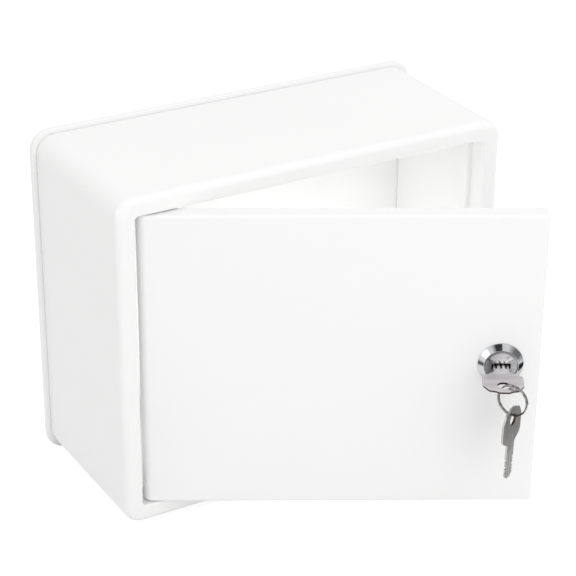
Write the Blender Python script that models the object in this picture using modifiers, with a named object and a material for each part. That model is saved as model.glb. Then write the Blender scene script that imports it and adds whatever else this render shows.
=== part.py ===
"""Lockable letter box, modelled in metres with +Z up and its front towards -Y.

The origin is the centre of the wall face, the flat back of the back plate. The door is
modelled closed in the frame of its hinge axis and stands open by DOOR_OPEN_ANGLE. The lock
is modelled in a frame on the door's outer face, whose +Y points into the box, and the keys
hang in frames of their own under it.
"""
import math

import bmesh
import bpy
from mathutils import Matrix, Vector

# Gaps that every fit is worked out from
SEAT_GAP = 0.0003
CUT_MARGIN = 0.002
SINK_MARGIN = 0.0001

# Body shell
BODY_WIDTH = 0.230
BODY_HEIGHT = 0.1878
BODY_DEPTH = 0.1002
BODY_CORNER = 0.0102
BODY_DRAFT = 0.0006
FRONT_EDGE_RADIUS = 0.0040
WALL = 0.0028
INNER_EDGE_RADIUS = 0.0013
RIM_WIDTH = 0.0100
RIM_CHAMFER = 0.0009
OPENING_CORNER = 0.0026
JAMB_WALL = 0.0026
JAMB_DEPTH = 0.0120
STOP_WIDTH = 0.0034
STOP_THICKNESS = 0.0028

# Back plate, its letter slot and its holes
PLATE_THICKNESS = 0.0033
PLATE_LIP = 0.0024
PLATE_CORNER = 0.0110
PLATE_EDGE_RADIUS = 0.0007
SLOT_WIDTH = 0.170
SLOT_HEIGHT = 0.026
SLOT_CORNER = 0.003
SLOT_BELOW_TOP = 0.014
WALL_HOLE_RADIUS = 0.0024
WALL_HOLE_SINK_RADIUS = 0.0046
WALL_HOLE_SINK_DEPTH = 0.0022
WALL_HOLE_FROM_SIDE = 0.0165
WALL_HOLE_FROM_MIDDLE = 0.058

# Screws that hold the back plate to the shell's corner bosses
SCREW_SHANK_RADIUS = 0.0015
SCREW_HEAD_RADIUS = 0.0031
SCREW_HEAD_DEPTH = 0.0018
SCREW_LENGTH = 0.0150
SCREW_RECESS_WIDTH = 0.0009
SCREW_RECESS_SPAN = 0.0034
SCREW_RECESS_DEPTH = 0.0011
BOSS_RADIUS = 0.0045
BOSS_LENGTH = 0.0220
BOSS_FROM_WALL = 0.0034

# Door
DOOR_OPEN_ANGLE = math.radians(28.86)
DOOR_THICKNESS = 0.0108
DOOR_SIDE_GAP = 0.0006
DOOR_END_GAP = 0.0005
DOOR_HINGE_GAP = 0.0033
DOOR_CORNER = 0.0020
DOOR_EDGE_RADIUS = 0.0016
DOOR_BACK_EDGE_RADIUS = 0.0008
DOOR_HINGE_EDGE_FLAT = 0.0002
DOOR_FACE_WALL = 0.0026
DOOR_RIM_WALL = 0.0026
DOOR_BAR_WIDTH = 0.0130
DOOR_RIB_WIDTH = 0.0020
DOOR_RIB_SET_BACK = 0.0012
DOOR_RIB_FROM_MIDDLE = 0.042

# Hinge pins, upper and lower
PIN_RADIUS = 0.0015
PIN_IN_DOOR = 0.0080
PIN_IN_JAMB = 0.0042
PIN_BLOCK_WIDTH = 0.0100

# Cam lock
LOCK_FROM_FREE_EDGE = 0.0205
BEZEL_RADIUS = 0.01185
BEZEL_LIP = 0.0005
BEZEL_HEIGHT = 0.0031
BEZEL_TOP_WIDTH = 0.0002
LOCK_BODY_RADIUS = 0.0092
LOCK_BODY_FLATS = 0.0164
PLUG_HEAD_RADIUS = 0.0085
PLUG_HEAD_RECESS = 0.0002
PLUG_HEAD_LENGTH = 0.0022
PLUG_RADIUS = 0.0062
PLUG_TAIL_SIDE = 0.0072
PLUG_FACE_RECESS = 0.0006
PLUG_FACE_SECTOR_RADIUS = 0.0075
PLUG_FACE_SECTOR_HALF_ANGLE = math.radians(56)
KEYWAY_END = 0.0119
WASHER_RADIUS = 0.0120
WASHER_THICKNESS = 0.0008
WASHER_TOOTH = 0.0009
WASHER_TEETH = 12
WASHER_TOOTH_SHARE = 0.8
NUT_ACROSS_FLATS = 0.0240
NUT_THICKNESS = 0.0040
STOP_WASHER_RADIUS = 0.0085
STOP_WASHER_THICKNESS = 0.0008
CAM_THICKNESS = 0.0020
CAM_HUB_RADIUS = 0.0090
CAM_WIDTH = 0.0120
CAM_REACH = 0.0265
CAM_CLEARANCE = 0.0006
CAM_SCREW_RADIUS = 0.0017
CAM_SCREW_HEAD_RADIUS = 0.0036
CAM_SCREW_HEAD_HEIGHT = 0.0024
CAM_SCREW_SLOT = 0.0009
CAM_SCREW_IN_PLUG = 0.0042
CAM_WASHER_RADIUS = 0.0048
CAM_WASHER_THICKNESS = 0.0008

# Wafers inside the plug, each with a lug that its spring pushes
WAFER_COUNT = 5
WAFER_PITCH = 0.0020
WAFER_FIRST = 0.0008
WAFER_THICKNESS = 0.0009
WAFER_LENGTH = 0.0110
WAFER_HEIGHT = 0.0046
WAFER_TRAVEL = 0.0010
LUG_WIDTH = 0.0010
LUG_HEIGHT = 0.0013
LUG_FROM_MIDDLE = 0.0009
SPRING_RADIUS = 0.0006
SPRING_WIRE_RADIUS = 0.0001
SPRING_PITCH = 0.00065
SPRING_TURNS = 4.5
RETAINER_DEPTH = 0.0126
RETAINER_THICKNESS = 0.0008
RETAINER_PROUD = 0.0008
RETAINER_HEIGHT = 0.0040
RETAINER_INNER_END = 0.0028

# Keys, and how far the bow of the one in the lock stands out from the door
KEY_STAND_OUT = 0.0102
KEY_PLAY = 0.0003
KEY_THICKNESS = 0.0012
KEYWAY_HEIGHT = 0.0024
BLADE_WIDTH = 0.0080
BLADE_LENGTH = 0.0198
BLADE_TIP_WIDTH = 0.0036
BLADE_TIP_LENGTH = 0.0018
BLADE_GROOVES = 3
BLADE_GROOVE_WIDTH = 0.0013
BLADE_GROOVE_DEPTH = 0.0003
BLADE_GROOVE_PITCH = 0.0025
BLADE_GROOVE_START = 0.0036
KEY_CUT_DEPTHS = (0.0010, 0.0006, 0.0012, 0.0008, 0.0005)
KEY_CUT_FLAT = 0.0006
BOW_LENGTH = 0.0206
BOW_HALF_WIDTH = 0.0104
BOW_SHOULDER_HALF_WIDTH = 0.0090
BOW_SHOULDER_LENGTH = 0.0048
BOW_TAPER_LENGTH = 0.0029
BOW_END_SHOULDER = 0.0074
BOW_END_SHOULDER_DROP = 0.0020
BOW_END_LENGTH = 0.0068
BOW_CROWN_HALF_WIDTH = 0.0042
BOW_CROWN_END_HALF_WIDTH = 0.0025
BOW_CROWN_HEIGHT = 0.0013
BOW_HOLE_RADIUS = 0.0032
BOW_HOLE_FROM_END = 0.0068

# Split ring, and how it and the spare key hang
RING_INNER_RADIUS = 0.0077
RING_WIRE_RADIAL = 0.0009
RING_WIRE_AXIAL = 0.00065
RING_PITCH = 0.00075
RING_TURNS = 1.9
RING_YAW = math.radians(35.2)
RING_REACH = 0.0055
RING_DROP = 0.0062
SPARE_YAW = math.radians(-5.9)
SPARE_ROUND_RING = math.radians(3)
SPARE_LEAN = math.radians(-2.3)

# Smoothness of round shapes
CORNER_STEPS = 6
EDGE_STEPS = 4
ROUND_STEPS = 48
SMALL_ROUND_STEPS = 24
SPRING_STEPS = 8
SMOOTH_BELOW = math.radians(32)
WELD_DISTANCE = 0.000001

# Worked out from the sizes above
FRONT_Y = -BODY_DEPTH
SHELL_DEPTH = BODY_DEPTH - PLATE_THICKNESS - SEAT_GAP
OPENING_WIDTH = BODY_WIDTH - 2 * RIM_WIDTH
OPENING_HEIGHT = BODY_HEIGHT - 2 * RIM_WIDTH
DOOR_HALF = DOOR_THICKNESS / 2
HINGE_X = -OPENING_WIDTH / 2 + DOOR_HINGE_GAP + DOOR_HALF
HINGE_Y = FRONT_Y + DOOR_HALF
DOOR_LENGTH = OPENING_WIDTH / 2 - DOOR_SIDE_GAP - HINGE_X
DOOR_HEIGHT = OPENING_HEIGHT - 2 * DOOR_END_GAP
LOCK_FROM_HINGE = DOOR_LENGTH - LOCK_FROM_FREE_EDGE
SLOT_Z = BODY_HEIGHT / 2 - SLOT_BELOW_TOP - SLOT_HEIGHT / 2
BOSS_X = BODY_WIDTH / 2 - WALL - BOSS_FROM_WALL
BOSS_Z = BODY_HEIGHT / 2 - WALL - BOSS_FROM_WALL
CAM_FRONT = JAMB_DEPTH + STOP_THICKNESS + CAM_CLEARANCE
STOP_WASHER_FRONT = CAM_FRONT - SEAT_GAP - STOP_WASHER_THICKNESS
LOCK_BODY_END = STOP_WASHER_FRONT - SEAT_GAP
PLUG_END = CAM_FRONT + CAM_THICKNESS - SEAT_GAP
PLUG_FACE = -BEZEL_HEIGHT + PLUG_HEAD_RECESS
PLUG_HEAD_BACK = PLUG_FACE + PLUG_HEAD_LENGTH
KEYWAY_WIDTH = BLADE_WIDTH + 2 * (SEAT_GAP + KEY_PLAY)
BOW_HOLE = BOW_LENGTH - BOW_HOLE_FROM_END
KEY_HOME_STAND_OUT = BLADE_LENGTH - (KEYWAY_END - SEAT_GAP)
BLADE_IN_PLUG = KEYWAY_END - SEAT_GAP - PLUG_FACE
KEY_PIVOT = BLADE_LENGTH - BLADE_IN_PLUG / 2
KEY_SLANT = math.asin(2 * KEY_PLAY / BLADE_IN_PLUG)
RING_MEAN_RADIUS = RING_INNER_RADIUS + RING_WIRE_RADIAL / 2


def clear_scene():
    """Removes whatever the scene holds."""
    for item in list(bpy.data.objects):
        bpy.data.objects.remove(item)


def new_collection(name):
    """Makes a collection under the scene's own."""
    collection = bpy.data.collections.new(name)
    bpy.context.scene.collection.children.link(collection)
    return collection


clear_scene()
PARTS = new_collection("letter_box")
CUTTERS = new_collection("cutters")


def material(name, colour, roughness, metallic=0.0):
    """A Principled material with one colour."""
    made = bpy.data.materials.new(name)
    made.use_nodes = True
    shader = made.node_tree.nodes["Principled BSDF"]
    shader.inputs["Base Color"].default_value = (*colour, 1.0)
    shader.inputs["Roughness"].default_value = roughness
    shader.inputs["Metallic"].default_value = metallic
    return made


def axis_empty(name, parent, location, rotation=(0.0, 0.0, 0.0)):
    """An empty on a joint's axis, which carries the pieces that turn or slide there."""
    empty = bpy.data.objects.new(name, None)
    PARTS.objects.link(empty)
    empty.empty_display_size = 0.01
    empty.parent = parent
    empty.location = location
    empty.rotation_euler = rotation
    return empty


def add_object(name, data, parent=None, cutter=False):
    """Puts a mesh or curve in the scene as a part, or as a cutter that is never rendered."""
    made = bpy.data.objects.new(name, data)
    (CUTTERS if cutter else PARTS).objects.link(made)
    made.parent = parent
    if cutter:
        made.hide_render = True
        made.display_type = "WIRE"
    return made


def finish(part, surface):
    """Gives a part its material and smooth shading on its round faces."""
    part.data.materials.clear()
    part.data.materials.append(surface)
    part.data.shade_smooth()
    part.data.set_sharp_from_angle(angle=SMOOTH_BELOW)
    return part


def mesh_from(name, build):
    """Runs a function on a new bmesh and returns the mesh it makes."""
    work = bmesh.new()
    build(work)
    bmesh.ops.recalc_face_normals(work, faces=work.faces)
    mesh = bpy.data.meshes.new(name)
    work.to_mesh(mesh)
    work.free()
    return mesh


def boolean(target, other, operation="DIFFERENCE"):
    """Adds an exact Boolean of another object."""
    modifier = target.modifiers.new(other.name, "BOOLEAN")
    modifier.operation = operation
    modifier.solver = "EXACT"
    modifier.object = other
    return target


def round_edges(work, edges, radius, steps):
    """Rounds some edges of a bmesh."""
    bmesh.ops.bevel(work, geom=edges, offset=radius, segments=steps, profile=0.5, affect="EDGES")


def soft_box(name, width, height, depth, corner, front_radius=0.0, back_radius=0.0, draft=0.0):
    """A box from y = 0 back to y = depth, rounded where its sides meet and round its faces.

    A draft widens the back on every side.
    """
    def build(work):
        bmesh.ops.create_cube(work, size=1.0)
        for vert in work.verts:
            back = vert.co.y > 0
            grow = draft if back else 0.0
            vert.co.x = math.copysign(width / 2 + grow, vert.co.x)
            vert.co.z = math.copysign(height / 2 + grow, vert.co.z)
            vert.co.y = depth if back else 0.0
        if corner > 0:
            along = [edge for edge in work.edges
                     if abs(edge.verts[0].co.y - edge.verts[1].co.y) > depth / 2]
            round_edges(work, along, corner, CORNER_STEPS)
        for level, radius in ((0.0, front_radius), (depth, back_radius)):
            if radius > 0:
                face_edges = [edge for edge in work.edges
                              if all(abs(vert.co.y - level) < WELD_DISTANCE for vert in edge.verts)]
                round_edges(work, face_edges, radius, EDGE_STEPS)
    return mesh_from(name, build)


def plain_box(name, low, high):
    """A box between two corners."""
    def build(work):
        bmesh.ops.create_cube(work, size=1.0)
        middle = (Vector(low) + Vector(high)) / 2
        size = Vector(high) - Vector(low)
        bmesh.ops.scale(work, vec=size, verts=work.verts)
        bmesh.ops.translate(work, vec=middle, verts=work.verts)
    return mesh_from(name, build)


def rod(name, radius, start, end, along="Y", steps=SMALL_ROUND_STEPS, far_radius=None):
    """A cylinder or cone through the origin's axis, from start to end along Y or Z."""
    def build(work):
        far = radius if far_radius is None else far_radius
        bmesh.ops.create_cone(
            work, cap_ends=True, segments=steps, radius1=radius, radius2=far, depth=end - start)
        bmesh.ops.translate(work, vec=(0, 0, (start + end) / 2), verts=work.verts)
        if along == "Y":
            turn = Matrix.Rotation(-math.pi / 2, 3, "X")
            bmesh.ops.rotate(work, cent=(0, 0, 0), matrix=turn, verts=work.verts)
    return mesh_from(name, build)


def turned(name, profile, steps=ROUND_STEPS, parent=None, cutter=False):
    """A turned solid about the Y axis from a closed profile of (radius, y) points."""
    mesh = bpy.data.meshes.new(name)
    count = len(profile)
    points = [(radius, depth, 0.0) for radius, depth in profile]
    mesh.from_pydata(points, [(index, (index + 1) % count) for index in range(count)], [])
    made = add_object(name, mesh, parent, cutter)
    screw = made.modifiers.new("turn", "SCREW")
    screw.axis = "Y"
    screw.steps = steps
    screw.render_steps = steps
    screw.use_merge_vertices = True
    screw.merge_threshold = WELD_DISTANCE
    screw.use_normal_calculate = True
    return made


def baked(source):
    """The mesh of an object as its modifiers leave it, for copies that share it."""
    evaluated = source.evaluated_get(bpy.context.evaluated_depsgraph_get())
    return bpy.data.meshes.new_from_object(evaluated)


def curve_mesh(curve):
    """Turns a curve into a mesh with its caps welded on, and removes the curve."""
    carrier = bpy.data.objects.new(curve.name, curve)
    bpy.context.scene.collection.objects.link(carrier)
    mesh = baked(carrier)
    mesh.name = curve.name
    bpy.data.objects.remove(carrier)
    bpy.data.curves.remove(curve)
    work = bmesh.new()
    work.from_mesh(mesh)
    bmesh.ops.remove_doubles(work, verts=work.verts, dist=WELD_DISTANCE)
    bmesh.ops.recalc_face_normals(work, faces=work.faces)
    work.to_mesh(mesh)
    work.free()
    return mesh


def flat_plate(name, outlines, thickness):
    """A flat plate in the XY plane, centred on it, from an outer outline and its holes."""
    curve = bpy.data.curves.new(name, "CURVE")
    curve.dimensions = "2D"
    curve.fill_mode = "BOTH"
    curve.extrude = thickness / 2
    for outline in outlines:
        spline = curve.splines.new("POLY")
        spline.points.add(len(outline) - 1)
        for point, (x, y) in zip(spline.points, outline):
            point.co = (x, y, 0.0, 1.0)
        spline.use_cyclic_u = True
    return curve_mesh(curve)


def arc(radius, start, end, steps, centre=(0.0, 0.0)):
    """Points along an arc, both ends included, with angles in radians."""
    middle_x, middle_y = centre
    angles = [start + (end - start) * step / steps for step in range(steps + 1)]
    return [(middle_x + radius * math.cos(angle), middle_y + radius * math.sin(angle)) for angle in angles]


def circle(radius, steps=ROUND_STEPS, centre=(0.0, 0.0)):
    """Points round a full circle."""
    return arc(radius, 0.0, 2 * math.pi, steps, centre)[:-1]


def square(side):
    """Corners of a square about the origin."""
    half = side / 2
    return [(half, half), (-half, half), (-half, -half), (half, -half)]


# Surfaces
WHITE_PLASTIC = material("white_plastic", (0.90, 0.90, 0.89), 0.38)
DOOR_PLASTIC = material("door_plastic", (0.91, 0.91, 0.90), 0.36)
PLATE_PLASTIC = material("plate_plastic", (0.89, 0.89, 0.88), 0.42)
CHROME = material("chrome", (0.85, 0.86, 0.87), 0.06, 1.0)
PLUG_METAL = material("plug_metal", (0.70, 0.70, 0.71), 0.22, 1.0)
KEY_METAL = material("key_metal", (0.66, 0.65, 0.64), 0.34, 1.0)
SPARE_METAL = material("spare_metal", (0.62, 0.61, 0.60), 0.34, 1.0)
RING_STEEL = material("ring_steel", (0.72, 0.72, 0.72), 0.18, 1.0)
ZINC = material("zinc", (0.62, 0.63, 0.64), 0.40, 1.0)
PIN_STEEL = material("pin_steel", (0.60, 0.60, 0.61), 0.30, 1.0)
BRASS = material("brass", (0.75, 0.60, 0.30), 0.30, 1.0)


def body_cavity():
    """The hollow of the shell, less the jamb, the corner bosses and the pin blocks that stay."""
    cavity = add_object("cavity_cutter", soft_box(
        "cavity_cutter", BODY_WIDTH - 2 * WALL, BODY_HEIGHT - 2 * WALL, SHELL_DEPTH - WALL + CUT_MARGIN,
        BODY_CORNER - WALL, front_radius=INNER_EDGE_RADIUS, draft=BODY_DRAFT), cutter=True)
    cavity.location.y = FRONT_Y + WALL
    jamb = add_object("jamb_block", soft_box(
        "jamb_block", OPENING_WIDTH + 2 * JAMB_WALL, OPENING_HEIGHT + 2 * JAMB_WALL,
        JAMB_DEPTH + STOP_THICKNESS, OPENING_CORNER + JAMB_WALL), cutter=True)
    jamb.location.y = FRONT_Y
    boolean(cavity, jamb)
    for side_x in (-1, 1):
        for side_z in (-1, 1):
            boss = add_object("boss_block", rod(
                "boss_block", BOSS_RADIUS, -BOSS_LENGTH, 2 * CUT_MARGIN), cutter=True)
            boss.location = (side_x * BOSS_X, FRONT_Y + SHELL_DEPTH, side_z * BOSS_Z)
            boolean(cavity, boss)
    for side_z in (-1, 1):
        inner = side_z * OPENING_HEIGHT / 2
        outer = side_z * (BODY_HEIGHT / 2 - WALL / 2)
        block = add_object("pin_block", plain_box(
            "pin_block",
            (HINGE_X - PIN_BLOCK_WIDTH / 2, FRONT_Y, min(inner, outer)),
            (HINGE_X + PIN_BLOCK_WIDTH / 2, FRONT_Y + JAMB_DEPTH, max(inner, outer))), cutter=True)
        boolean(cavity, block)
    return cavity


def body_shell():
    """The moulded shell: drafted sides, a flat rim, the jamb the door closes into and its stop."""
    shell = add_object("body_shell", soft_box(
        "body_shell", BODY_WIDTH, BODY_HEIGHT, SHELL_DEPTH, BODY_CORNER,
        front_radius=FRONT_EDGE_RADIUS, draft=BODY_DRAFT))
    shell.location.y = FRONT_Y
    boolean(shell, body_cavity())
    opening = add_object("opening_cutter", soft_box(
        "opening_cutter", OPENING_WIDTH, OPENING_HEIGHT, JAMB_DEPTH + CUT_MARGIN,
        OPENING_CORNER), cutter=True)
    opening.location.y = FRONT_Y - CUT_MARGIN
    boolean(shell, opening)
    stop = add_object("stop_cutter", soft_box(
        "stop_cutter", OPENING_WIDTH - 2 * STOP_WIDTH, OPENING_HEIGHT - 2 * STOP_WIDTH,
        STOP_THICKNESS + 2 * CUT_MARGIN, OPENING_CORNER), cutter=True)
    stop.location.y = FRONT_Y + JAMB_DEPTH - CUT_MARGIN
    boolean(shell, stop)
    chamfer = add_object("rim_chamfer_cutter", soft_box(
        "rim_chamfer_cutter", OPENING_WIDTH + 4 * RIM_CHAMFER, OPENING_HEIGHT + 4 * RIM_CHAMFER,
        2 * RIM_CHAMFER, OPENING_CORNER + 2 * RIM_CHAMFER, draft=-2 * RIM_CHAMFER), cutter=True)
    chamfer.location.y = FRONT_Y - RIM_CHAMFER
    boolean(shell, chamfer)
    pin_hole_end = OPENING_HEIGHT / 2 + PIN_IN_JAMB + SEAT_GAP
    pin_hole = add_object("pin_hole_cutter", rod(
        "pin_hole_cutter", PIN_RADIUS + SEAT_GAP, -pin_hole_end, pin_hole_end, along="Z"), cutter=True)
    pin_hole.location = (HINGE_X, HINGE_Y, 0)
    boolean(shell, pin_hole)
    for side_x in (-1, 1):
        for side_z in (-1, 1):
            hole = add_object("boss_hole_cutter", rod(
                "boss_hole_cutter", SCREW_SHANK_RADIUS + SEAT_GAP,
                -(SCREW_LENGTH - PLATE_THICKNESS + SEAT_GAP), CUT_MARGIN), cutter=True)
            hole.location = (side_x * BOSS_X, FRONT_Y + SHELL_DEPTH, side_z * BOSS_Z)
            boolean(shell, hole)
    return finish(shell, WHITE_PLASTIC)


def back_plate():
    """The flat plate behind the shell, proud of it all round, with the letter slot and wall holes."""
    plate = add_object("back_plate", soft_box(
        "back_plate", BODY_WIDTH + 2 * (BODY_DRAFT + PLATE_LIP), BODY_HEIGHT + 2 * (BODY_DRAFT + PLATE_LIP),
        PLATE_THICKNESS, PLATE_CORNER, front_radius=PLATE_EDGE_RADIUS))
    plate.location.y = -PLATE_THICKNESS
    slot = add_object("slot_cutter", soft_box(
        "slot_cutter", SLOT_WIDTH, SLOT_HEIGHT, PLATE_THICKNESS + 2 * CUT_MARGIN, SLOT_CORNER), cutter=True)
    slot.location = (0, -PLATE_THICKNESS - CUT_MARGIN, SLOT_Z)
    boolean(plate, slot)
    head_depth = SCREW_HEAD_DEPTH + SEAT_GAP
    for side_x in (-1, 1):
        for side_z in (-1, 1):
            hole = add_object("plate_hole_cutter", rod(
                "plate_hole_cutter", SCREW_SHANK_RADIUS + SEAT_GAP,
                -PLATE_THICKNESS - CUT_MARGIN, CUT_MARGIN), cutter=True)
            hole.location = (side_x * BOSS_X, 0, side_z * BOSS_Z)
            boolean(plate, hole)
            sink = add_object("plate_sink_cutter", rod(
                "plate_sink_cutter", SCREW_SHANK_RADIUS + SEAT_GAP, -head_depth, SINK_MARGIN,
                far_radius=SCREW_HEAD_RADIUS + SEAT_GAP), cutter=True)
            sink.location = hole.location
            boolean(plate, sink)
            wall_hole = add_object("wall_hole_cutter", rod(
                "wall_hole_cutter", WALL_HOLE_RADIUS,
                -PLATE_THICKNESS - CUT_MARGIN, CUT_MARGIN), cutter=True)
            wall_hole.location = (
                side_x * (BODY_WIDTH / 2 - WALL_HOLE_FROM_SIDE), 0, side_z * WALL_HOLE_FROM_MIDDLE)
            boolean(plate, wall_hole)
            wall_sink = add_object("wall_sink_cutter", rod(
                "wall_sink_cutter", WALL_HOLE_SINK_RADIUS, -PLATE_THICKNESS - SINK_MARGIN,
                -PLATE_THICKNESS + WALL_HOLE_SINK_DEPTH, far_radius=WALL_HOLE_RADIUS), cutter=True)
            wall_sink.location = wall_hole.location
            boolean(plate, wall_sink)
    return finish(plate, PLATE_PLASTIC)


def countersunk_screw(name):
    """One countersunk screw along Y, its head flush with y = 0 and a cross recess in it."""
    screw = turned(name, [
        (0, 0), (SCREW_HEAD_RADIUS, 0), (SCREW_SHANK_RADIUS, -SCREW_HEAD_DEPTH),
        (SCREW_SHANK_RADIUS, -SCREW_LENGTH + SCREW_SHANK_RADIUS), (0, -SCREW_LENGTH)],
        steps=SMALL_ROUND_STEPS, cutter=True)
    for turn in (0, 1):
        spans = [SCREW_RECESS_SPAN / 2, SCREW_RECESS_WIDTH / 2]
        across, down = spans[turn], spans[1 - turn]
        slot = add_object("recess_cutter", plain_box(
            "recess_cutter", (-across, -SCREW_RECESS_DEPTH, -down),
            (across, CUT_MARGIN, down)), cutter=True)
        boolean(screw, slot)
    return screw


def back_plate_screws():
    """The four screws from the wall side into the shell's bosses."""
    mesh = baked(countersunk_screw("screw_pattern"))
    corners = [(side_x, side_z) for side_z in (1, -1) for side_x in (-1, 1)]
    for number, (side_x, side_z) in enumerate(corners, 1):
        screw = add_object(f"back_plate_screw_{number}", mesh)
        screw.location = (side_x * BOSS_X, -SEAT_GAP / 2, side_z * BOSS_Z)
        finish(screw, ZINC)


def hinge_pins():
    """The two steel pins the door turns on, each half in the jamb and half in the door."""
    for name, side in (("hinge_pin_upper", 1), ("hinge_pin_lower", -1)):
        inner = side * (DOOR_HEIGHT / 2 - PIN_IN_DOOR)
        outer = side * (OPENING_HEIGHT / 2 + PIN_IN_JAMB)
        pin = add_object(name, rod(name, PIN_RADIUS, min(inner, outer), max(inner, outer), along="Z"))
        pin.location = (HINGE_X, HINGE_Y, 0)
        finish(pin, PIN_STEEL)


def lock_body_outline(clearance=0.0):
    """The lock body's section, a circle with two flats, as (x, y) points."""
    radius = LOCK_BODY_RADIUS + clearance
    half = LOCK_BODY_FLATS / 2 + clearance
    reach = math.asin(half / radius)
    right = arc(radius, -reach, reach, ROUND_STEPS // 3)
    left = arc(radius, math.pi - reach, math.pi + reach, ROUND_STEPS // 3)
    return right + left


def door_panel(hinge):
    """The door: a tray with a round hinge edge, an open back, two ribs and the lock's hole."""
    height = DOOR_HEIGHT
    hinge_margin = DOOR_CORNER + CUT_MARGIN
    face = add_object("door_panel", soft_box(
        "door_panel", DOOR_LENGTH + DOOR_HALF, height, DOOR_THICKNESS, DOOR_CORNER,
        front_radius=DOOR_EDGE_RADIUS, back_radius=DOOR_BACK_EDGE_RADIUS), hinge)
    face.data.transform(Matrix.Translation(((DOOR_LENGTH - DOOR_HALF) / 2, -DOOR_HALF, 0)))

    def plan(work):
        bmesh.ops.create_cube(work, size=1.0)
        for vert in work.verts:
            vert.co.x = DOOR_LENGTH + hinge_margin if vert.co.x > 0 else -DOOR_HALF
            vert.co.y = math.copysign(DOOR_HALF, vert.co.y)
            vert.co.z = math.copysign(height / 2 + CUT_MARGIN, vert.co.z)
        edges = [edge for edge in work.edges if all(vert.co.x < 0 for vert in edge.verts)
                 and abs(edge.verts[0].co.z - edge.verts[1].co.z) > height / 2]
        radius = DOOR_HALF - DOOR_HINGE_EDGE_FLAT / 2
        round_edges(work, edges, radius, CORNER_STEPS)
    outline = add_object("hinge_edge_form", mesh_from("hinge_edge_form", plan), hinge, cutter=True)
    boolean(face, outline, "INTERSECT")

    tray_left = -DOOR_HALF + DOOR_BAR_WIDTH
    tray_right = DOOR_LENGTH - DOOR_RIM_WALL
    tray_half = height / 2 - DOOR_RIM_WALL
    floor = -DOOR_HALF + DOOR_FACE_WALL
    rib_top = DOOR_HALF - DOOR_RIB_SET_BACK
    tray = add_object("tray_cutter", plain_box(
        "tray_cutter", (tray_left, floor, -tray_half), (tray_right, DOOR_HALF + CUT_MARGIN, tray_half)),
        hinge, cutter=True)
    for side in (-1, 1):
        middle = side * DOOR_RIB_FROM_MIDDLE
        rib = add_object("rib_block", plain_box(
            "rib_block", (tray_left - CUT_MARGIN, floor - CUT_MARGIN, middle - DOOR_RIB_WIDTH / 2),
            (tray_right + CUT_MARGIN, rib_top, middle + DOOR_RIB_WIDTH / 2)), hinge, cutter=True)
        boolean(tray, rib)
    boolean(face, tray)

    hole = add_object("lock_hole_cutter", flat_plate(
        "lock_hole_cutter", [lock_body_outline(SEAT_GAP)], 2 * DOOR_THICKNESS), hinge, cutter=True)
    hole.rotation_euler.x = math.pi / 2
    hole.location = (LOCK_FROM_HINGE, 0, 0)
    boolean(face, hole)
    for side in (-1, 1):
        inner = side * (height / 2 - PIN_IN_DOOR - SEAT_GAP)
        outer = side * (height / 2 + CUT_MARGIN)
        bore = add_object("pin_bore_cutter", rod(
            "pin_bore_cutter", PIN_RADIUS + SEAT_GAP, min(inner, outer), max(inner, outer), along="Z"),
            hinge, cutter=True)
        boolean(face, bore)
    return finish(face, DOOR_PLASTIC)


def lock_housing(lock):
    """The lock's body: a conical bezel, a bore for the plug, a groove and a flatted shank."""
    seat = -SEAT_GAP
    top = -BEZEL_HEIGHT
    head_bore = PLUG_HEAD_RADIUS + SEAT_GAP
    head_floor = PLUG_HEAD_BACK + SEAT_GAP
    bore = PLUG_RADIUS + SEAT_GAP
    groove = PLUG_RADIUS + RETAINER_PROUD + SEAT_GAP
    groove_half = RETAINER_THICKNESS / 2 + SEAT_GAP / 2
    body = turned("lock_housing", [
        (BEZEL_RADIUS, seat), (BEZEL_RADIUS, seat - BEZEL_LIP),
        (head_bore + BEZEL_TOP_WIDTH, top), (head_bore, top), (head_bore, head_floor),
        (bore, head_floor), (bore, RETAINER_DEPTH - groove_half),
        (groove, RETAINER_DEPTH - groove_half), (groove, RETAINER_DEPTH + groove_half),
        (bore, RETAINER_DEPTH + groove_half), (bore, LOCK_BODY_END), (LOCK_BODY_RADIUS, LOCK_BODY_END),
        (LOCK_BODY_RADIUS, seat)], parent=lock)
    for side in (-1, 1):
        reach = LOCK_BODY_RADIUS + CUT_MARGIN
        low, high = sorted((side * LOCK_BODY_FLATS / 2, side * reach))
        flat = add_object("flat_cutter", plain_box(
            "flat_cutter", (-reach, seat, low), (reach, LOCK_BODY_END + CUT_MARGIN, high)),
            lock, cutter=True)
        boolean(body, flat)
    return finish(body, CHROME)


def standing_plate(name, outlines, thickness, front, parent, cutter=False):
    """A flat plate square to the lock's axis, with its front at a depth behind the door's face."""
    made = add_object(name, flat_plate(name, outlines, thickness), parent, cutter)
    made.rotation_euler.x = math.pi / 2
    made.location.y = front + thickness / 2
    return made


def lock_fixings(lock):
    """The toothed washer and the hexagon nut that clamp the lock to the door."""
    washer_front = DOOR_FACE_WALL + SEAT_GAP
    bore = LOCK_BODY_RADIUS + SEAT_GAP
    teeth = []
    for index in range(2 * WASHER_TEETH):
        radius = bore if index % 2 else bore + WASHER_TOOTH
        start = math.pi * index / WASHER_TEETH
        teeth += arc(radius, start, start + WASHER_TOOTH_SHARE * math.pi / WASHER_TEETH, 2)
    outlines = [circle(WASHER_RADIUS), teeth]
    washer = standing_plate("lock_washer", outlines, WASHER_THICKNESS, washer_front, lock)
    finish(washer, ZINC)
    nut_front = washer_front + WASHER_THICKNESS + SEAT_GAP
    corner = NUT_ACROSS_FLATS / 2 / math.cos(math.pi / 6)
    nut = standing_plate("lock_nut", [circle(corner, 6), circle(bore)], NUT_THICKNESS, nut_front, lock)
    finish(nut, ZINC)


def wafer_depths():
    """Depths of the wafers' middles behind the door's face."""
    return [WAFER_FIRST + WAFER_PITCH * index for index in range(WAFER_COUNT)]


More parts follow.
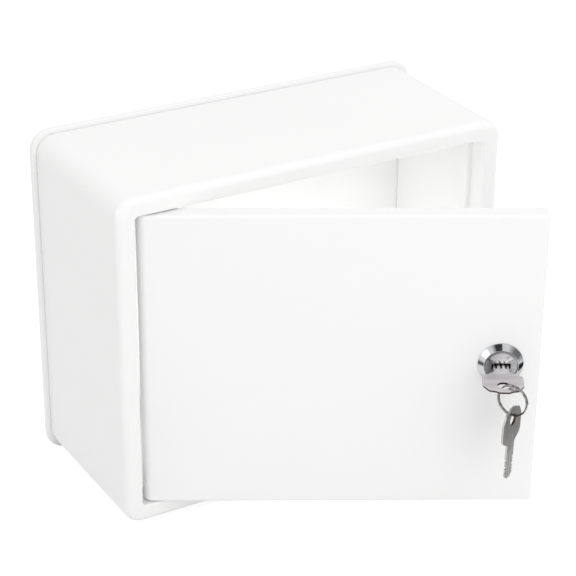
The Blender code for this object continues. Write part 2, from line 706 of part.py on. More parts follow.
def lug_sides():
    """The side of each wafer's lug and spring, in turn above and below."""
    return [1 if index % 2 == 0 else -1 for index in range(WAFER_COUNT)]


def spring_start():
    """Where each wafer's spring begins across the plug, so that it ends at the lug."""
    length = SPRING_PITCH * SPRING_TURNS + 2 * SPRING_WIRE_RADIUS
    return LUG_FROM_MIDDLE - LUG_WIDTH / 2 - SEAT_GAP - length


def lock_plug(plug_axis):
    """The plug: a head with a sunk bow-tie face, a barrel with keyway and wafer slots, a square tail."""
    plug = turned("lock_plug", [
        (0, PLUG_FACE), (PLUG_HEAD_RADIUS, PLUG_FACE), (PLUG_HEAD_RADIUS, PLUG_HEAD_BACK),
        (PLUG_RADIUS, PLUG_HEAD_BACK), (PLUG_RADIUS, PLUG_END), (0, PLUG_END)], parent=plug_axis)

    tail = PLUG_TAIL_SIDE / 2
    reach = PLUG_RADIUS + CUT_MARGIN
    for side in (-1, 1):
        low, high = sorted((side * tail, side * reach))
        for name, box_low, box_high in (
                ("tail_side_cutter", (low, LOCK_BODY_END, -reach), (high, PLUG_END + CUT_MARGIN, reach)),
                ("tail_end_cutter", (-reach, LOCK_BODY_END, low), (reach, PLUG_END + CUT_MARGIN, high))):
            boolean(plug, add_object(name, plain_box(name, box_low, box_high), plug_axis, cutter=True))

    keyway = add_object("keyway_cutter", plain_box(
        "keyway_cutter", (-KEYWAY_WIDTH / 2, PLUG_FACE - CUT_MARGIN, -KEYWAY_HEIGHT / 2),
        (KEYWAY_WIDTH / 2, KEYWAY_END, KEYWAY_HEIGHT / 2)), plug_axis, cutter=True)
    boolean(plug, keyway)
    half = PLUG_FACE_SECTOR_HALF_ANGLE
    for centre in (math.pi / 2, -math.pi / 2):
        sector = [(0.0, 0.0)] + arc(PLUG_FACE_SECTOR_RADIUS, centre - half, centre + half, CORNER_STEPS * 2)
        cutter = standing_plate(
            "sector_cutter", [sector], PLUG_FACE_RECESS + CUT_MARGIN, PLUG_FACE - CUT_MARGIN, plug_axis,
            cutter=True)
        boolean(plug, cutter)

    slot_half = WAFER_THICKNESS / 2 + SEAT_GAP / 2
    slot_height = WAFER_HEIGHT / 2 + SEAT_GAP
    for side, depth in zip(lug_sides(), wafer_depths()):
        slot = add_object("wafer_slot_cutter", plain_box(
            "wafer_slot_cutter", (-reach, depth - slot_half, -slot_height),
            (reach, depth + slot_half, slot_height)), plug_axis, cutter=True)
        boolean(plug, slot)
        pocket_half = SPRING_RADIUS + SEAT_GAP
        pocket_end = LUG_FROM_MIDDLE + LUG_WIDTH / 2 + WAFER_TRAVEL
        low, high = sorted((0.0, side * (WAFER_HEIGHT / 2 + LUG_HEIGHT + SEAT_GAP)))
        pocket = add_object("spring_pocket_cutter", plain_box(
            "spring_pocket_cutter", (spring_start() - SEAT_GAP, depth - pocket_half, low),
            (pocket_end, depth + pocket_half, high)), plug_axis, cutter=True)
        boolean(plug, pocket)
    slot_half = RETAINER_THICKNESS / 2 + SEAT_GAP / 2
    slot_height = RETAINER_HEIGHT / 2 + SEAT_GAP
    slot = add_object("retainer_slot_cutter", plain_box(
        "retainer_slot_cutter", (RETAINER_INNER_END - SEAT_GAP, RETAINER_DEPTH - slot_half, -slot_height),
        (reach, RETAINER_DEPTH + slot_half, slot_height)), plug_axis, cutter=True)
    boolean(plug, slot)
    thread = add_object("thread_cutter", rod(
        "thread_cutter", CAM_SCREW_RADIUS + SEAT_GAP, PLUG_END - CAM_SCREW_IN_PLUG - SEAT_GAP,
        PLUG_END + CUT_MARGIN), plug_axis, cutter=True)
    boolean(plug, thread)
    return finish(plug, PLUG_METAL)


def tumbler_wafers(plug_axis):
    """The windowed wafers that the key lifts, their lugs on alternate sides."""
    half_length = WAFER_LENGTH / 2
    half_height = WAFER_HEIGHT / 2
    top = half_height + LUG_HEIGHT
    lug_left = LUG_FROM_MIDDLE - LUG_WIDTH / 2
    lug_right = LUG_FROM_MIDDLE + LUG_WIDTH / 2
    outer = [(half_length, half_height), (lug_right, half_height), (lug_right, top), (lug_left, top),
             (lug_left, half_height), (-half_length, half_height), (-half_length, -half_height),
             (half_length, -half_height)]
    window_x = KEYWAY_WIDTH / 2
    window_y = KEYWAY_HEIGHT / 2
    window = [(window_x, window_y), (-window_x, window_y), (-window_x, -window_y), (window_x, -window_y)]
    mesh = flat_plate("tumbler_wafer", [outer, window], WAFER_THICKNESS)
    for number, (side, depth) in enumerate(zip(lug_sides(), wafer_depths()), 1):
        wafer = add_object(f"tumbler_wafer_{number}", mesh, plug_axis)
        wafer.rotation_euler.x = side * math.pi / 2
        wafer.location.y = depth
        finish(wafer, BRASS)


def wafer_springs(plug_axis):
    """The coil spring beside each wafer, between the plug's pocket and the wafer's lug."""
    middle_radius = SPRING_RADIUS - SPRING_WIRE_RADIUS
    steps = round(SPRING_TURNS * SPRING_STEPS)
    curve = bpy.data.curves.new("wafer_spring", "CURVE")
    curve.dimensions = "3D"
    curve.bevel_depth = SPRING_WIRE_RADIUS
    curve.bevel_resolution = 1
    curve.use_fill_caps = True
    spline = curve.splines.new("POLY")
    spline.points.add(steps)
    for index, point in enumerate(spline.points):
        angle = 2 * math.pi * index / SPRING_STEPS
        along = SPRING_WIRE_RADIUS + SPRING_PITCH * index / SPRING_STEPS
        point.co = (along, middle_radius * math.cos(angle), middle_radius * math.sin(angle), 1.0)
    mesh = curve_mesh(curve)
    for number, (side, depth) in enumerate(zip(lug_sides(), wafer_depths()), 1):
        spring = add_object(f"wafer_spring_{number}", mesh, plug_axis)
        spring.location = (spring_start(), depth, side * (WAFER_HEIGHT / 2 + SEAT_GAP + SPRING_RADIUS))
        finish(spring, PIN_STEEL)


def retaining_wafer(plug_axis):
    """The plain wafer in the housing's groove that keeps the plug from sliding out."""
    proud = PLUG_RADIUS + RETAINER_PROUD
    half = RETAINER_HEIGHT / 2
    blank = [(proud, half), (RETAINER_INNER_END, half), (RETAINER_INNER_END, -half), (proud, -half)]
    retainer = standing_plate(
        "retaining_wafer", [blank], RETAINER_THICKNESS, RETAINER_DEPTH - RETAINER_THICKNESS / 2, plug_axis)
    finish(retainer, BRASS)


def cam_parts(plug_axis):
    """The stop washer, cam, washer and screw on the plug's square tail."""
    hole = square(PLUG_TAIL_SIDE + 2 * SEAT_GAP)
    stop = standing_plate("cam_stop_washer", [circle(STOP_WASHER_RADIUS), hole], STOP_WASHER_THICKNESS,
                          STOP_WASHER_FRONT, plug_axis)
    finish(stop, ZINC)

    half = CAM_WIDTH / 2
    meet = math.acos(half / CAM_HUB_RADIUS)
    hub = arc(CAM_HUB_RADIUS, math.pi - meet, 2 * math.pi + meet, ROUND_STEPS // 2)
    tip = arc(half, 0.0, math.pi, CORNER_STEPS * 2, centre=(0.0, CAM_REACH - half))
    cam = standing_plate("lock_cam", [hub + tip, hole], CAM_THICKNESS, CAM_FRONT, plug_axis)
    finish(cam, ZINC)

    washer_front = CAM_FRONT + CAM_THICKNESS + SEAT_GAP
    washer_radii = (CAM_WASHER_RADIUS, CAM_SCREW_RADIUS + SEAT_GAP)
    outlines = [circle(radius, SMALL_ROUND_STEPS) for radius in washer_radii]
    washer = standing_plate("cam_washer", outlines, CAM_WASHER_THICKNESS, washer_front, plug_axis)
    finish(washer, ZINC)

    head_front = washer_front + CAM_WASHER_THICKNESS + SEAT_GAP
    head_back = head_front + CAM_SCREW_HEAD_HEIGHT
    screw = turned("cam_screw", [
        (0, PLUG_END - CAM_SCREW_IN_PLUG), (CAM_SCREW_RADIUS, PLUG_END - CAM_SCREW_IN_PLUG),
        (CAM_SCREW_RADIUS, head_front), (CAM_SCREW_HEAD_RADIUS, head_front),
        (CAM_SCREW_HEAD_RADIUS, head_back), (0, head_back)], steps=SMALL_ROUND_STEPS, parent=plug_axis)
    reach = CAM_SCREW_HEAD_RADIUS + CUT_MARGIN
    slot = add_object("cam_screw_slot_cutter", plain_box(
        "cam_screw_slot_cutter", (-reach, head_back - CAM_SCREW_SLOT, -CAM_SCREW_SLOT / 2),
        (reach, head_back + CUT_MARGIN, CAM_SCREW_SLOT / 2)), plug_axis, cutter=True)
    boolean(screw, slot)
    finish(screw, ZINC)


def blade_edge():
    """One edge of the blade from the bow to the tip, as (half width, y) points.

    With the key pushed home, each cut stands at its wafer.
    """
    half = BLADE_WIDTH / 2
    flat = KEY_CUT_FLAT / 2
    slope = (WAFER_PITCH - KEY_CUT_FLAT - SEAT_GAP) / 2
    points = [(half, 0.0)]
    for depth, cut in zip(wafer_depths(), KEY_CUT_DEPTHS):
        middle = KEY_HOME_STAND_OUT + depth
        points += [(half, middle - flat - slope), (half - cut, middle - flat), (half - cut, middle + flat),
                   (half, middle + flat + slope)]
    points += [(half, BLADE_LENGTH - BLADE_TIP_LENGTH), (BLADE_TIP_WIDTH / 2, BLADE_LENGTH)]
    return points


def key_outline():
    """The key's flat outline about the middle of the bow's base, blade along +Y and bow along -Y."""
    right_bow = [
        (BOW_CROWN_END_HALF_WIDTH, -BOW_LENGTH),
        (BOW_CROWN_HALF_WIDTH, -BOW_LENGTH + BOW_CROWN_HEIGHT),
        (BOW_END_SHOULDER, -BOW_LENGTH + BOW_END_SHOULDER_DROP),
        (BOW_HALF_WIDTH, -BOW_LENGTH + BOW_END_LENGTH),
        (BOW_HALF_WIDTH, -BOW_SHOULDER_LENGTH),
        (BOW_SHOULDER_HALF_WIDTH, -BOW_TAPER_LENGTH)]
    right = right_bow + blade_edge()
    left = [(-x, y) for x, y in reversed(right)]
    return right + left


def key_mesh():
    """A flat key with its ring hole, and grooves along both faces of the blade."""
    hole = circle(BOW_HOLE_RADIUS, SMALL_ROUND_STEPS, (0.0, -BOW_HOLE))
    pattern = add_object(
        "key_pattern", flat_plate("key_pattern", [key_outline(), hole], KEY_THICKNESS), cutter=True)
    for side in (-1, 1):
        inner = side * (KEY_THICKNESS / 2 - BLADE_GROOVE_DEPTH)
        outer = side * (KEY_THICKNESS / 2 + CUT_MARGIN)
        for number in range(BLADE_GROOVES):
            middle = BLADE_GROOVE_PITCH * (number - (BLADE_GROOVES - 1) / 2)
            box = plain_box(
                "groove_cutter", (middle - BLADE_GROOVE_WIDTH / 2, BLADE_GROOVE_START, min(inner, outer)),
                (middle + BLADE_GROOVE_WIDTH / 2, BLADE_LENGTH + CUT_MARGIN, max(inner, outer)))
            boolean(pattern, add_object("groove_cutter", box, cutter=True))
    return baked(pattern)


def key_in_lock(key_slide):
    """The key that stands in the plug, as far aslant as its keyway lets it."""
    key = add_object("key_in_lock", key_mesh(), key_slide)
    key.location.y = -KEY_PIVOT
    return finish(key, KEY_METAL)


def key_ring(ring_axis):
    """A flat-wire split ring of almost two turns, hung over the bow between its hole and its end."""
    count = round(RING_TURNS * ROUND_STEPS)
    path = bpy.data.curves.new("key_ring_path", "CURVE")
    path.dimensions = "3D"
    path.twist_mode = "Z_UP"
    path.use_fill_caps = True
    spline = path.splines.new("POLY")
    spline.points.add(count)
    for index, point in enumerate(spline.points):
        angle = 2 * math.pi * RING_TURNS * index / count
        rise = RING_PITCH * (index / count - 0.5) * RING_TURNS
        point.co = (RING_MEAN_RADIUS * math.cos(angle), RING_MEAN_RADIUS * math.sin(angle), rise, 1.0)
    section = bpy.data.curves.new("ring_wire_section", "CURVE")
    section.dimensions = "2D"
    side = section.splines.new("POLY")
    side.points.add(3)
    half = (RING_WIRE_RADIAL / 2, RING_WIRE_AXIAL / 2)
    for point, (sign_x, sign_y) in zip(side.points, ((1, 1), (-1, 1), (-1, -1), (1, -1))):
        point.co = (sign_x * half[0], sign_y * half[1], 0.0, 1.0)
    side.use_cyclic_u = True
    section_object = add_object("ring_wire_section", section, cutter=True)
    path.bevel_mode = "OBJECT"
    path.bevel_object = section_object
    ring = add_object("key_ring", curve_mesh(path), ring_axis)
    ring.rotation_euler.x = math.pi / 2
    ring.location.z = -RING_DROP
    return finish(ring, RING_STEEL)


def spare_key(spare_axis):
    """The spare key, hung by its hole from the bottom of the ring and leaning in its own plane."""
    key = add_object("spare_key", key_mesh(), spare_axis)
    hole_below_wire = BOW_HOLE_RADIUS - SEAT_GAP - RING_WIRE_RADIAL / 2
    key.data.transform(Matrix.Translation((0, BOW_HOLE + hole_below_wire, 0)))
    key.data.transform(Matrix.Rotation(-math.pi / 2, 4, "X") @ Matrix.Rotation(math.pi / 2, 4, "Y"))
    return finish(key, SPARE_METAL)


def build():
    """Makes every piece in its own frame."""
    body_shell()
    back_plate()
    back_plate_screws()
    hinge_pins()
    hinge = axis_empty("door_hinge_axis", None, (HINGE_X, HINGE_Y, 0), (0, 0, -DOOR_OPEN_ANGLE))
    door_panel(hinge)
    lock = axis_empty("lock_axis", hinge, (LOCK_FROM_HINGE, -DOOR_HALF, 0))
    lock_housing(lock)
    lock_fixings(lock)
    lock_plug(lock)
    tumbler_wafers(lock)
    wafer_springs(lock)
    retaining_wafer(lock)
    cam_parts(lock)
    key_slide = axis_empty("key_slide", lock, (0, KEY_PIVOT - KEY_STAND_OUT, 0), (0, 0, -KEY_SLANT))
    key_in_lock(key_slide)
    ring_place = (
        RING_REACH * math.cos(RING_YAW), -KEY_PIVOT - BOW_HOLE - RING_REACH * math.sin(RING_YAW), 0)
    ring_axis = axis_empty("ring_axis", key_slide, ring_place, (0, 0, -RING_YAW))
    key_ring(ring_axis)
    spare_place = (
        RING_MEAN_RADIUS * math.sin(SPARE_ROUND_RING), 0,
        -RING_DROP - RING_MEAN_RADIUS * math.cos(SPARE_ROUND_RING))
    spare_axis = axis_empty("spare_key_axis", ring_axis, spare_place, (SPARE_LEAN, 0, -SPARE_YAW))
    spare_key(spare_axis)


build()
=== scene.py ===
"""Looks of the lockable letter box: detailed pieces for most solids, their surfaces, and a plain studio.

Each piece is built in the frame of what carries it: the box, the door's hinge axis, the lock
on the door's face, or a key or ring. Lengths are in metres and the box faces -Y.
"""

import math

import bmesh
import bpy
from mathutils import Euler, Matrix, Vector
from mathutils.geometry import tessellate_polygon

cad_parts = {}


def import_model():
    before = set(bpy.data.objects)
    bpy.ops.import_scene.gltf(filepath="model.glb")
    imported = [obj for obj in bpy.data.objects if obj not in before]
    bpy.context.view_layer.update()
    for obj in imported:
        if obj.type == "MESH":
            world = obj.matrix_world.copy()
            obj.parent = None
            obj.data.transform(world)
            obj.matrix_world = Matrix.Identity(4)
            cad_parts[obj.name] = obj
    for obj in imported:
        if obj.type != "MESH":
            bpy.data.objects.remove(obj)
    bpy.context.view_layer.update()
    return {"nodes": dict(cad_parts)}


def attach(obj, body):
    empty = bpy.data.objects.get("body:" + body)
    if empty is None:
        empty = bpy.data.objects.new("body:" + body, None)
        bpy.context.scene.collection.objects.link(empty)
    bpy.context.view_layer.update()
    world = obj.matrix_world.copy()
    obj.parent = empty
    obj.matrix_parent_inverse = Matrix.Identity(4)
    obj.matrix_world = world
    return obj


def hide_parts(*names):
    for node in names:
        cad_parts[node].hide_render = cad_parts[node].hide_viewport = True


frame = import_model()

# Gaps and margins
SEAT_GAP = 0.0003
CUT_MARGIN = 0.002
TINY = 0.00002

# Body shell
BODY_WIDTH = 0.230
BODY_HEIGHT = 0.1878
BODY_DEPTH = 0.1002
BODY_CORNER = 0.0102
BODY_DRAFT = 0.0006
FRONT_EDGE_RADIUS = 0.0040
WALL = 0.0028
RIM_WIDTH = 0.0100
OPENING_EDGE_RADIUS = 0.0011
OPENING_CORNER = 0.0026
JAMB_WALL = 0.0026
JAMB_DEPTH = 0.0120
STOP_WIDTH = 0.0034
STOP_THICKNESS = 0.0028
STOP_EDGE_RADIUS = 0.0010

# Back plate, its slot and holes, and its screws
PLATE_THICKNESS = 0.0033
PLATE_LIP = 0.0024
PLATE_CORNER = 0.0110
PLATE_EDGE_RADIUS = 0.0007
PLATE_BACK_EDGE = 0.0003
PLATE_FACE_INSET = 0.010
SLOT_WIDTH = 0.170
SLOT_HEIGHT = 0.026
SLOT_CORNER = 0.003
SLOT_BELOW_TOP = 0.014
SLOT_CHAMFER = 0.0005
WALL_HOLE_RADIUS = 0.0024
WALL_HOLE_SINK_RADIUS = 0.0046
WALL_HOLE_SINK_DEPTH = 0.0022
WALL_HOLE_FROM_SIDE = 0.0165
WALL_HOLE_FROM_MIDDLE = 0.058
SCREW_SHANK_RADIUS = 0.0015
SCREW_HEAD_RADIUS = 0.0031
SCREW_HEAD_DEPTH = 0.0018
SCREW_LENGTH = 0.0150
SCREW_ROOT_SHARE = 0.82
SCREW_THREAD_TURNS = 8
SCREW_THREAD_START = 0.001
SCREW_RECESS_WIDTH = 0.0009
SCREW_RECESS_SPAN = 0.0034
SCREW_RECESS_DEPTH = 0.0011
BOSS_RADIUS = 0.0045
BOSS_LENGTH = 0.0220
BOSS_FROM_WALL = 0.0034

# Door and hinge
DOOR_OPEN_ANGLE = math.radians(28.86)
DOOR_THICKNESS = 0.0108
DOOR_SIDE_GAP = 0.0006
DOOR_END_GAP = 0.0005
DOOR_HINGE_GAP = 0.0033
DOOR_EDGE_RADIUS = 0.0016
DOOR_BACK_EDGE = 0.0008
DOOR_FACE_WALL = 0.0026
DOOR_RIM_WALL = 0.0026
DOOR_BAR_WIDTH = 0.0130
DOOR_RIB_WIDTH = 0.0020
DOOR_RIB_SET_BACK = 0.0012
DOOR_RIB_FROM_MIDDLE = 0.042
TRAY_CORNER = 0.0015
PIN_RADIUS = 0.0015
PIN_IN_DOOR = 0.0080
PIN_BLOCK_WIDTH = 0.0100

# Cam lock
LOCK_FROM_HINGE = 0.1802
BEZEL_RADIUS = 0.01185
BEZEL_LIP = 0.0005
BEZEL_HEIGHT = 0.0031
BEZEL_TOP_WIDTH = 0.0002
BEZEL_RIM_EDGE = 0.00025
LOCK_BODY_RADIUS = 0.0092
LOCK_BODY_FLATS = 0.0164
THREAD_PITCH = 0.0010
THREAD_DEPTH = 0.0004
PLUG_HEAD_RADIUS = 0.0085
PLUG_HEAD_RECESS = 0.0002
PLUG_HEAD_LENGTH = 0.0022
PLUG_RADIUS = 0.0062
PLUG_TAIL_SIDE = 0.0072
PLUG_FACE_RECESS = 0.0006
PLUG_FACE_SECTOR_RADIUS = 0.0075
PLUG_FACE_SECTOR_HALF_ANGLE = math.radians(56)
KEYWAY_END = 0.0119
KEYWAY_CORNER = 0.0003
WASHER_RADIUS = 0.0120
WASHER_THICKNESS = 0.0008
WASHER_TOOTH = 0.0009
WASHER_TEETH = 12
WASHER_TOOTH_SHARE = 0.8
NUT_ACROSS_FLATS = 0.0240
NUT_THICKNESS = 0.0040
NUT_SIDES = 6
NUT_EDGE = 0.00015
NUT_CHAMFER_ANGLE = math.radians(30)
STOP_WASHER_RADIUS = 0.0085
STOP_WASHER_THICKNESS = 0.0008
CAM_THICKNESS = 0.0020
CAM_HUB_RADIUS = 0.0090
CAM_WIDTH = 0.0120
CAM_REACH = 0.0265
CAM_CLEARANCE = 0.0006
CAM_SCREW_RADIUS = 0.0017
CAM_SCREW_HEAD_RADIUS = 0.0036
CAM_SCREW_HEAD_HEIGHT = 0.0024
CAM_SCREW_SLOT = 0.0009
CAM_SCREW_IN_PLUG = 0.0042
CAM_SCREW_HEAD_EDGE = 0.0005
CAM_WASHER_RADIUS = 0.0048
CAM_WASHER_THICKNESS = 0.0008

# Keys
KEY_STAND_OUT = 0.0102
KEY_PLAY = 0.0003
KEY_THICKNESS = 0.0012
KEYWAY_HEIGHT = 0.0024
KEYWAY_CHAMFER = 0.0003
BLADE_WIDTH = 0.0080
BLADE_LENGTH = 0.0198
BLADE_TIP_WIDTH = 0.0036
BLADE_TIP_LENGTH = 0.0018
BLADE_GROOVES = 3
BLADE_GROOVE_WIDTH = 0.0013
BLADE_GROOVE_DEPTH = 0.0003
BLADE_GROOVE_PITCH = 0.0025
BLADE_GROOVE_START = 0.0036
BLADE_GROOVE_RUN_OUT = 0.0016
BLADE_GROOVE_FLOOR_SHARE = 0.6
BLADE_TIP_CORNER = 0.0004
KEY_CUT_DEPTHS = (0.0010, 0.0006, 0.0012, 0.0008, 0.0005)
KEY_CUT_FLAT = 0.0006
KEY_CUT_TOP_CORNER = 0.00025
KEY_CUT_FLOOR_CORNER = 0.0002
WAFER_COUNT = 5
WAFER_PITCH = 0.0020
WAFER_FIRST = 0.0008
BOW_LENGTH = 0.0206
BOW_HALF_WIDTH = 0.0104
BOW_SHOULDER_HALF_WIDTH = 0.0090
BOW_SHOULDER_LENGTH = 0.0048
BOW_TAPER_LENGTH = 0.0029
BOW_END_SHOULDER = 0.0074
BOW_END_SHOULDER_DROP = 0.0020
BOW_END_LENGTH = 0.0068
BOW_CROWN_HALF_WIDTH = 0.0042
BOW_CROWN_END_HALF_WIDTH = 0.0025
BOW_CROWN_HEIGHT = 0.0013
BOW_HOLE_RADIUS = 0.0032
BOW_HOLE_FROM_END = 0.0068
BOW_CORNER_RADII = (0.0012, 0.0010, 0.0016, 0.0020, 0.0014, 0.0016, 0.0008)

# Split ring, and how it and the spare key hang
RING_INNER_RADIUS = 0.0077
RING_WIRE_RADIAL = 0.0009
RING_WIRE_AXIAL = 0.00065
RING_WIRE_EDGE = 0.00015
RING_PITCH = 0.00075
RING_TURNS = 1.9
RING_YAW = math.radians(35.2)
RING_REACH = 0.0055
RING_DROP = 0.0062
SPARE_YAW = math.radians(-5.9)
SPARE_ROUND_RING = math.radians(3)
SPARE_LEAN = math.radians(-2.3)

# Small roundings
FINE_EDGE = 0.0001
SMALL_EDGE = 0.0002
SOFT_EDGE = 0.0003

# Smoothness
CORNER_STEPS = 16
EDGE_STEPS = 6
ROUND_STEPS = 128
SMALL_ROUND_STEPS = 48
SHELL_STEPS = 8
DOOR_STEPS = 10
PLATE_STEPS = 3
TOOTH_STEPS = 5
KEYWAY_STEPS = 4
SECTOR_STEPS = 24
CAM_HUB_STEPS = 64
CAM_TIP_STEPS = 32
KEY_STEPS = 4
WIRE_STEPS = 3
SHARP_ANGLE = math.radians(32)
NORMAL_WEIGHT = 100
MITRE_LIMIT = 0.35
CORNER_SHARE = 0.49
CORNER_SIGNS = ((1, 1), (-1, 1), (-1, -1), (1, -1))

# Surface detail
BROAD_DETAIL = 2.0
GRAIN_DETAIL = 3.0
GRAIN_HEIGHT = 0.00002
FADE = 0.0001
PLUG_SHADE_START = 0.0020
PLUG_SHADE_END = -0.0060

# Worked out from the sizes above
FRONT_Y = -BODY_DEPTH
SHELL_DEPTH = BODY_DEPTH - PLATE_THICKNESS - SEAT_GAP
OPENING_WIDTH = BODY_WIDTH - 2 * RIM_WIDTH
OPENING_HEIGHT = BODY_HEIGHT - 2 * RIM_WIDTH
DOOR_HALF = DOOR_THICKNESS / 2
HINGE_X = -OPENING_WIDTH / 2 + DOOR_HINGE_GAP + DOOR_HALF
HINGE_Y = FRONT_Y + DOOR_HALF
DOOR_LENGTH = OPENING_WIDTH / 2 - DOOR_SIDE_GAP - HINGE_X
DOOR_HEIGHT = OPENING_HEIGHT - 2 * DOOR_END_GAP
SLOT_Z = BODY_HEIGHT / 2 - SLOT_BELOW_TOP - SLOT_HEIGHT / 2
BOSS_X = BODY_WIDTH / 2 - WALL - BOSS_FROM_WALL
BOSS_Z = BODY_HEIGHT / 2 - WALL - BOSS_FROM_WALL
CAM_FRONT = JAMB_DEPTH + STOP_THICKNESS + CAM_CLEARANCE
STOP_WASHER_FRONT = CAM_FRONT - SEAT_GAP - STOP_WASHER_THICKNESS
LOCK_BODY_END = STOP_WASHER_FRONT - SEAT_GAP
PLUG_END = CAM_FRONT + CAM_THICKNESS - SEAT_GAP
PLUG_FACE = -BEZEL_HEIGHT + PLUG_HEAD_RECESS
PLUG_HEAD_BACK = PLUG_FACE + PLUG_HEAD_LENGTH
KEYWAY_WIDTH = BLADE_WIDTH + 2 * (SEAT_GAP + KEY_PLAY)
BOW_HOLE = BOW_LENGTH - BOW_HOLE_FROM_END
KEY_HOME_STAND_OUT = BLADE_LENGTH - (KEYWAY_END - SEAT_GAP)
BLADE_IN_PLUG = KEYWAY_END - SEAT_GAP - PLUG_FACE
KEY_PIVOT = BLADE_LENGTH - BLADE_IN_PLUG / 2
KEY_SLANT = math.asin(2 * KEY_PLAY / BLADE_IN_PLUG)
RING_MEAN_RADIUS = RING_INNER_RADIUS + RING_WIRE_RADIAL / 2
SPARE_HOLE_BELOW_WIRE = BOW_HOLE_RADIUS - SEAT_GAP - RING_WIRE_RADIAL / 2
FLOOR_Z = -(BODY_HEIGHT / 2 + BODY_DRAFT + PLATE_LIP)

# Frames that the pieces are built in
BOX_FRAME = Matrix.Identity(4)
HINGE_FRAME = Matrix.Translation((HINGE_X, HINGE_Y, 0)) @ Matrix.Rotation(-DOOR_OPEN_ANGLE, 4, "Z")
LOCK_FRAME = HINGE_FRAME @ Matrix.Translation((LOCK_FROM_HINGE, -DOOR_HALF, 0))
KEY_FRAME = (LOCK_FRAME @ Matrix.Translation((0, KEY_PIVOT - KEY_STAND_OUT, 0))
             @ Matrix.Rotation(-KEY_SLANT, 4, "Z"))
RING_FRAME = (KEY_FRAME @ Matrix.Translation((
    RING_REACH * math.cos(RING_YAW), -KEY_PIVOT - BOW_HOLE - RING_REACH * math.sin(RING_YAW), 0))
    @ Matrix.Rotation(-RING_YAW, 4, "Z"))
SPARE_FRAME = (RING_FRAME @ Matrix.Translation((
    RING_MEAN_RADIUS * math.sin(SPARE_ROUND_RING), 0,
    -RING_DROP - RING_MEAN_RADIUS * math.cos(SPARE_ROUND_RING)))
    @ Euler((SPARE_LEAN, 0, -SPARE_YAW)).to_matrix().to_4x4())

# Studio and viewpoint, with angles in degrees
SURROUND_LEVEL = 0.92
FLOOR_SIZE = 3.0
FLOOR_GLOW = 0.86
FLOOR_SHADE = (0.26, 0.26, 0.26)
FLOOR_BOUNCE = (0.80, 0.80, 0.80)
LAMP_DISTANCE = 1.6
BOX_MIDDLE = Vector((0.0, -BODY_DEPTH / 2, 0.0))
LOCK_PLACE = LOCK_FRAME.translation
# Name, power, width, azimuth and elevation of each lamp
LAMPS = (
    ("front_lamp", 2.34, 0.8, 0, 20),
    ("upper_lamp", 1.45, 0.8, 0, 50),
    ("top_lamp", 1.07, 0.9, 0, 90),
    ("low_lamp", 0.76, 0.5, -20, 3))
INNER_LAMP_POWER = 0.124
INNER_LAMP_SIZE = (0.17, 0.03)
INNER_LAMP_PLACE = (0.0, -0.076, -0.072)
INNER_LAMP_TARGET = (0.0, -0.050, 0.06)
# Name, size, azimuth, elevation, distance, level and softness of each card
CARDS = (
    ("softbox_left", (0.46, 0.42), -90, 17, 0.6, 2.4, 0.8),
    ("grey_card_left", (0.11, 0.09), -103, -20, 0.20, 0.06, 0.9),
    ("dark_card_above", (0.27, 0.34), -36, 54, 0.5, 0.06, 0.3),
    ("grey_card_above", (0.40, 0.34), -48, 53, 0.52, 0.15, 0.9),
    ("grey_card_right", (0.20, 0.26), 42, 13, 0.16, 0.24, 0.7),
    ("dark_card_right", (0.07, 0.065), 66, -30, 0.12, 0.02, 0.4))
CAMERA_AZIMUTH = -30.0651
CAMERA_ELEVATION = 26.6320
CAMERA_ROLL = 0.4352
CAMERA_PLACE = (-0.473365, -0.887457, 0.480441)
CAMERA_LENS = 121.109
CAMERA_SENSOR = 36.0


def arc(radius, start, end, steps, centre=(0.0, 0.0)):
    """Points along an arc, both ends included, with angles in radians."""
    angles = [start + (end - start) * step / steps for step in range(steps + 1)]
    return [(centre[0] + radius * math.cos(angle), centre[1] + radius * math.sin(angle))
            for angle in angles]


def circle(radius, steps=ROUND_STEPS, centre=(0.0, 0.0)):
    """Points round a full circle."""
    return arc(radius, 0.0, 2 * math.pi, steps, centre)[:-1]


def softened(points, steps=EDGE_STEPS, closed=True):
    """A polyline whose corners are rounded: each point is (x, y) or (x, y, corner radius)."""
    result = []
    count = len(points)
    for index, point in enumerate(points):
        here = Vector(point[:2])
        radius = point[2] if len(point) > 2 else 0.0
        if radius <= 0 or (not closed and index in (0, count - 1)):
            result.append(tuple(here))
            continue
        back = Vector(points[index - 1][:2]) - here
        onward = Vector(points[(index + 1) % count][:2]) - here
        half = back.angle(onward) / 2
        tangent = min(radius / math.tan(half), CORNER_SHARE * back.length, CORNER_SHARE * onward.length)
        real = tangent * math.tan(half)
        back.normalize()
        onward.normalize()
        centre = here + (back + onward).normalized() * real / math.sin(half)
        first = here + back * tangent - centre
        sweep = first.angle_signed(here + onward * tangent - centre)
        start = math.atan2(first.y, first.x)
        result += arc(real, start, start - sweep, steps, tuple(centre))
    return result


def rounded_rectangle(half_width, half_height, corner, y, steps=CORNER_STEPS):
    """Points round a rectangle with round corners that stands at depth y."""
    corner = max(corner, TINY)
    points = []
    for number, (side_x, side_z) in enumerate(CORNER_SIGNS):
        centre = (side_x * (half_width - corner), side_z * (half_height - corner))
        start = number * math.pi / 2
        points += [(x, y, z) for x, z in arc(corner, start, start + math.pi / 2, steps, centre)]
    return points


def mesh_from(name, build):
    """Runs a function on a new bmesh and returns the mesh it makes."""
    work = bmesh.new()
    build(work)
    bmesh.ops.recalc_face_normals(work, faces=work.faces)
    mesh = bpy.data.meshes.new(name)
    work.to_mesh(mesh)
    work.free()
    return mesh


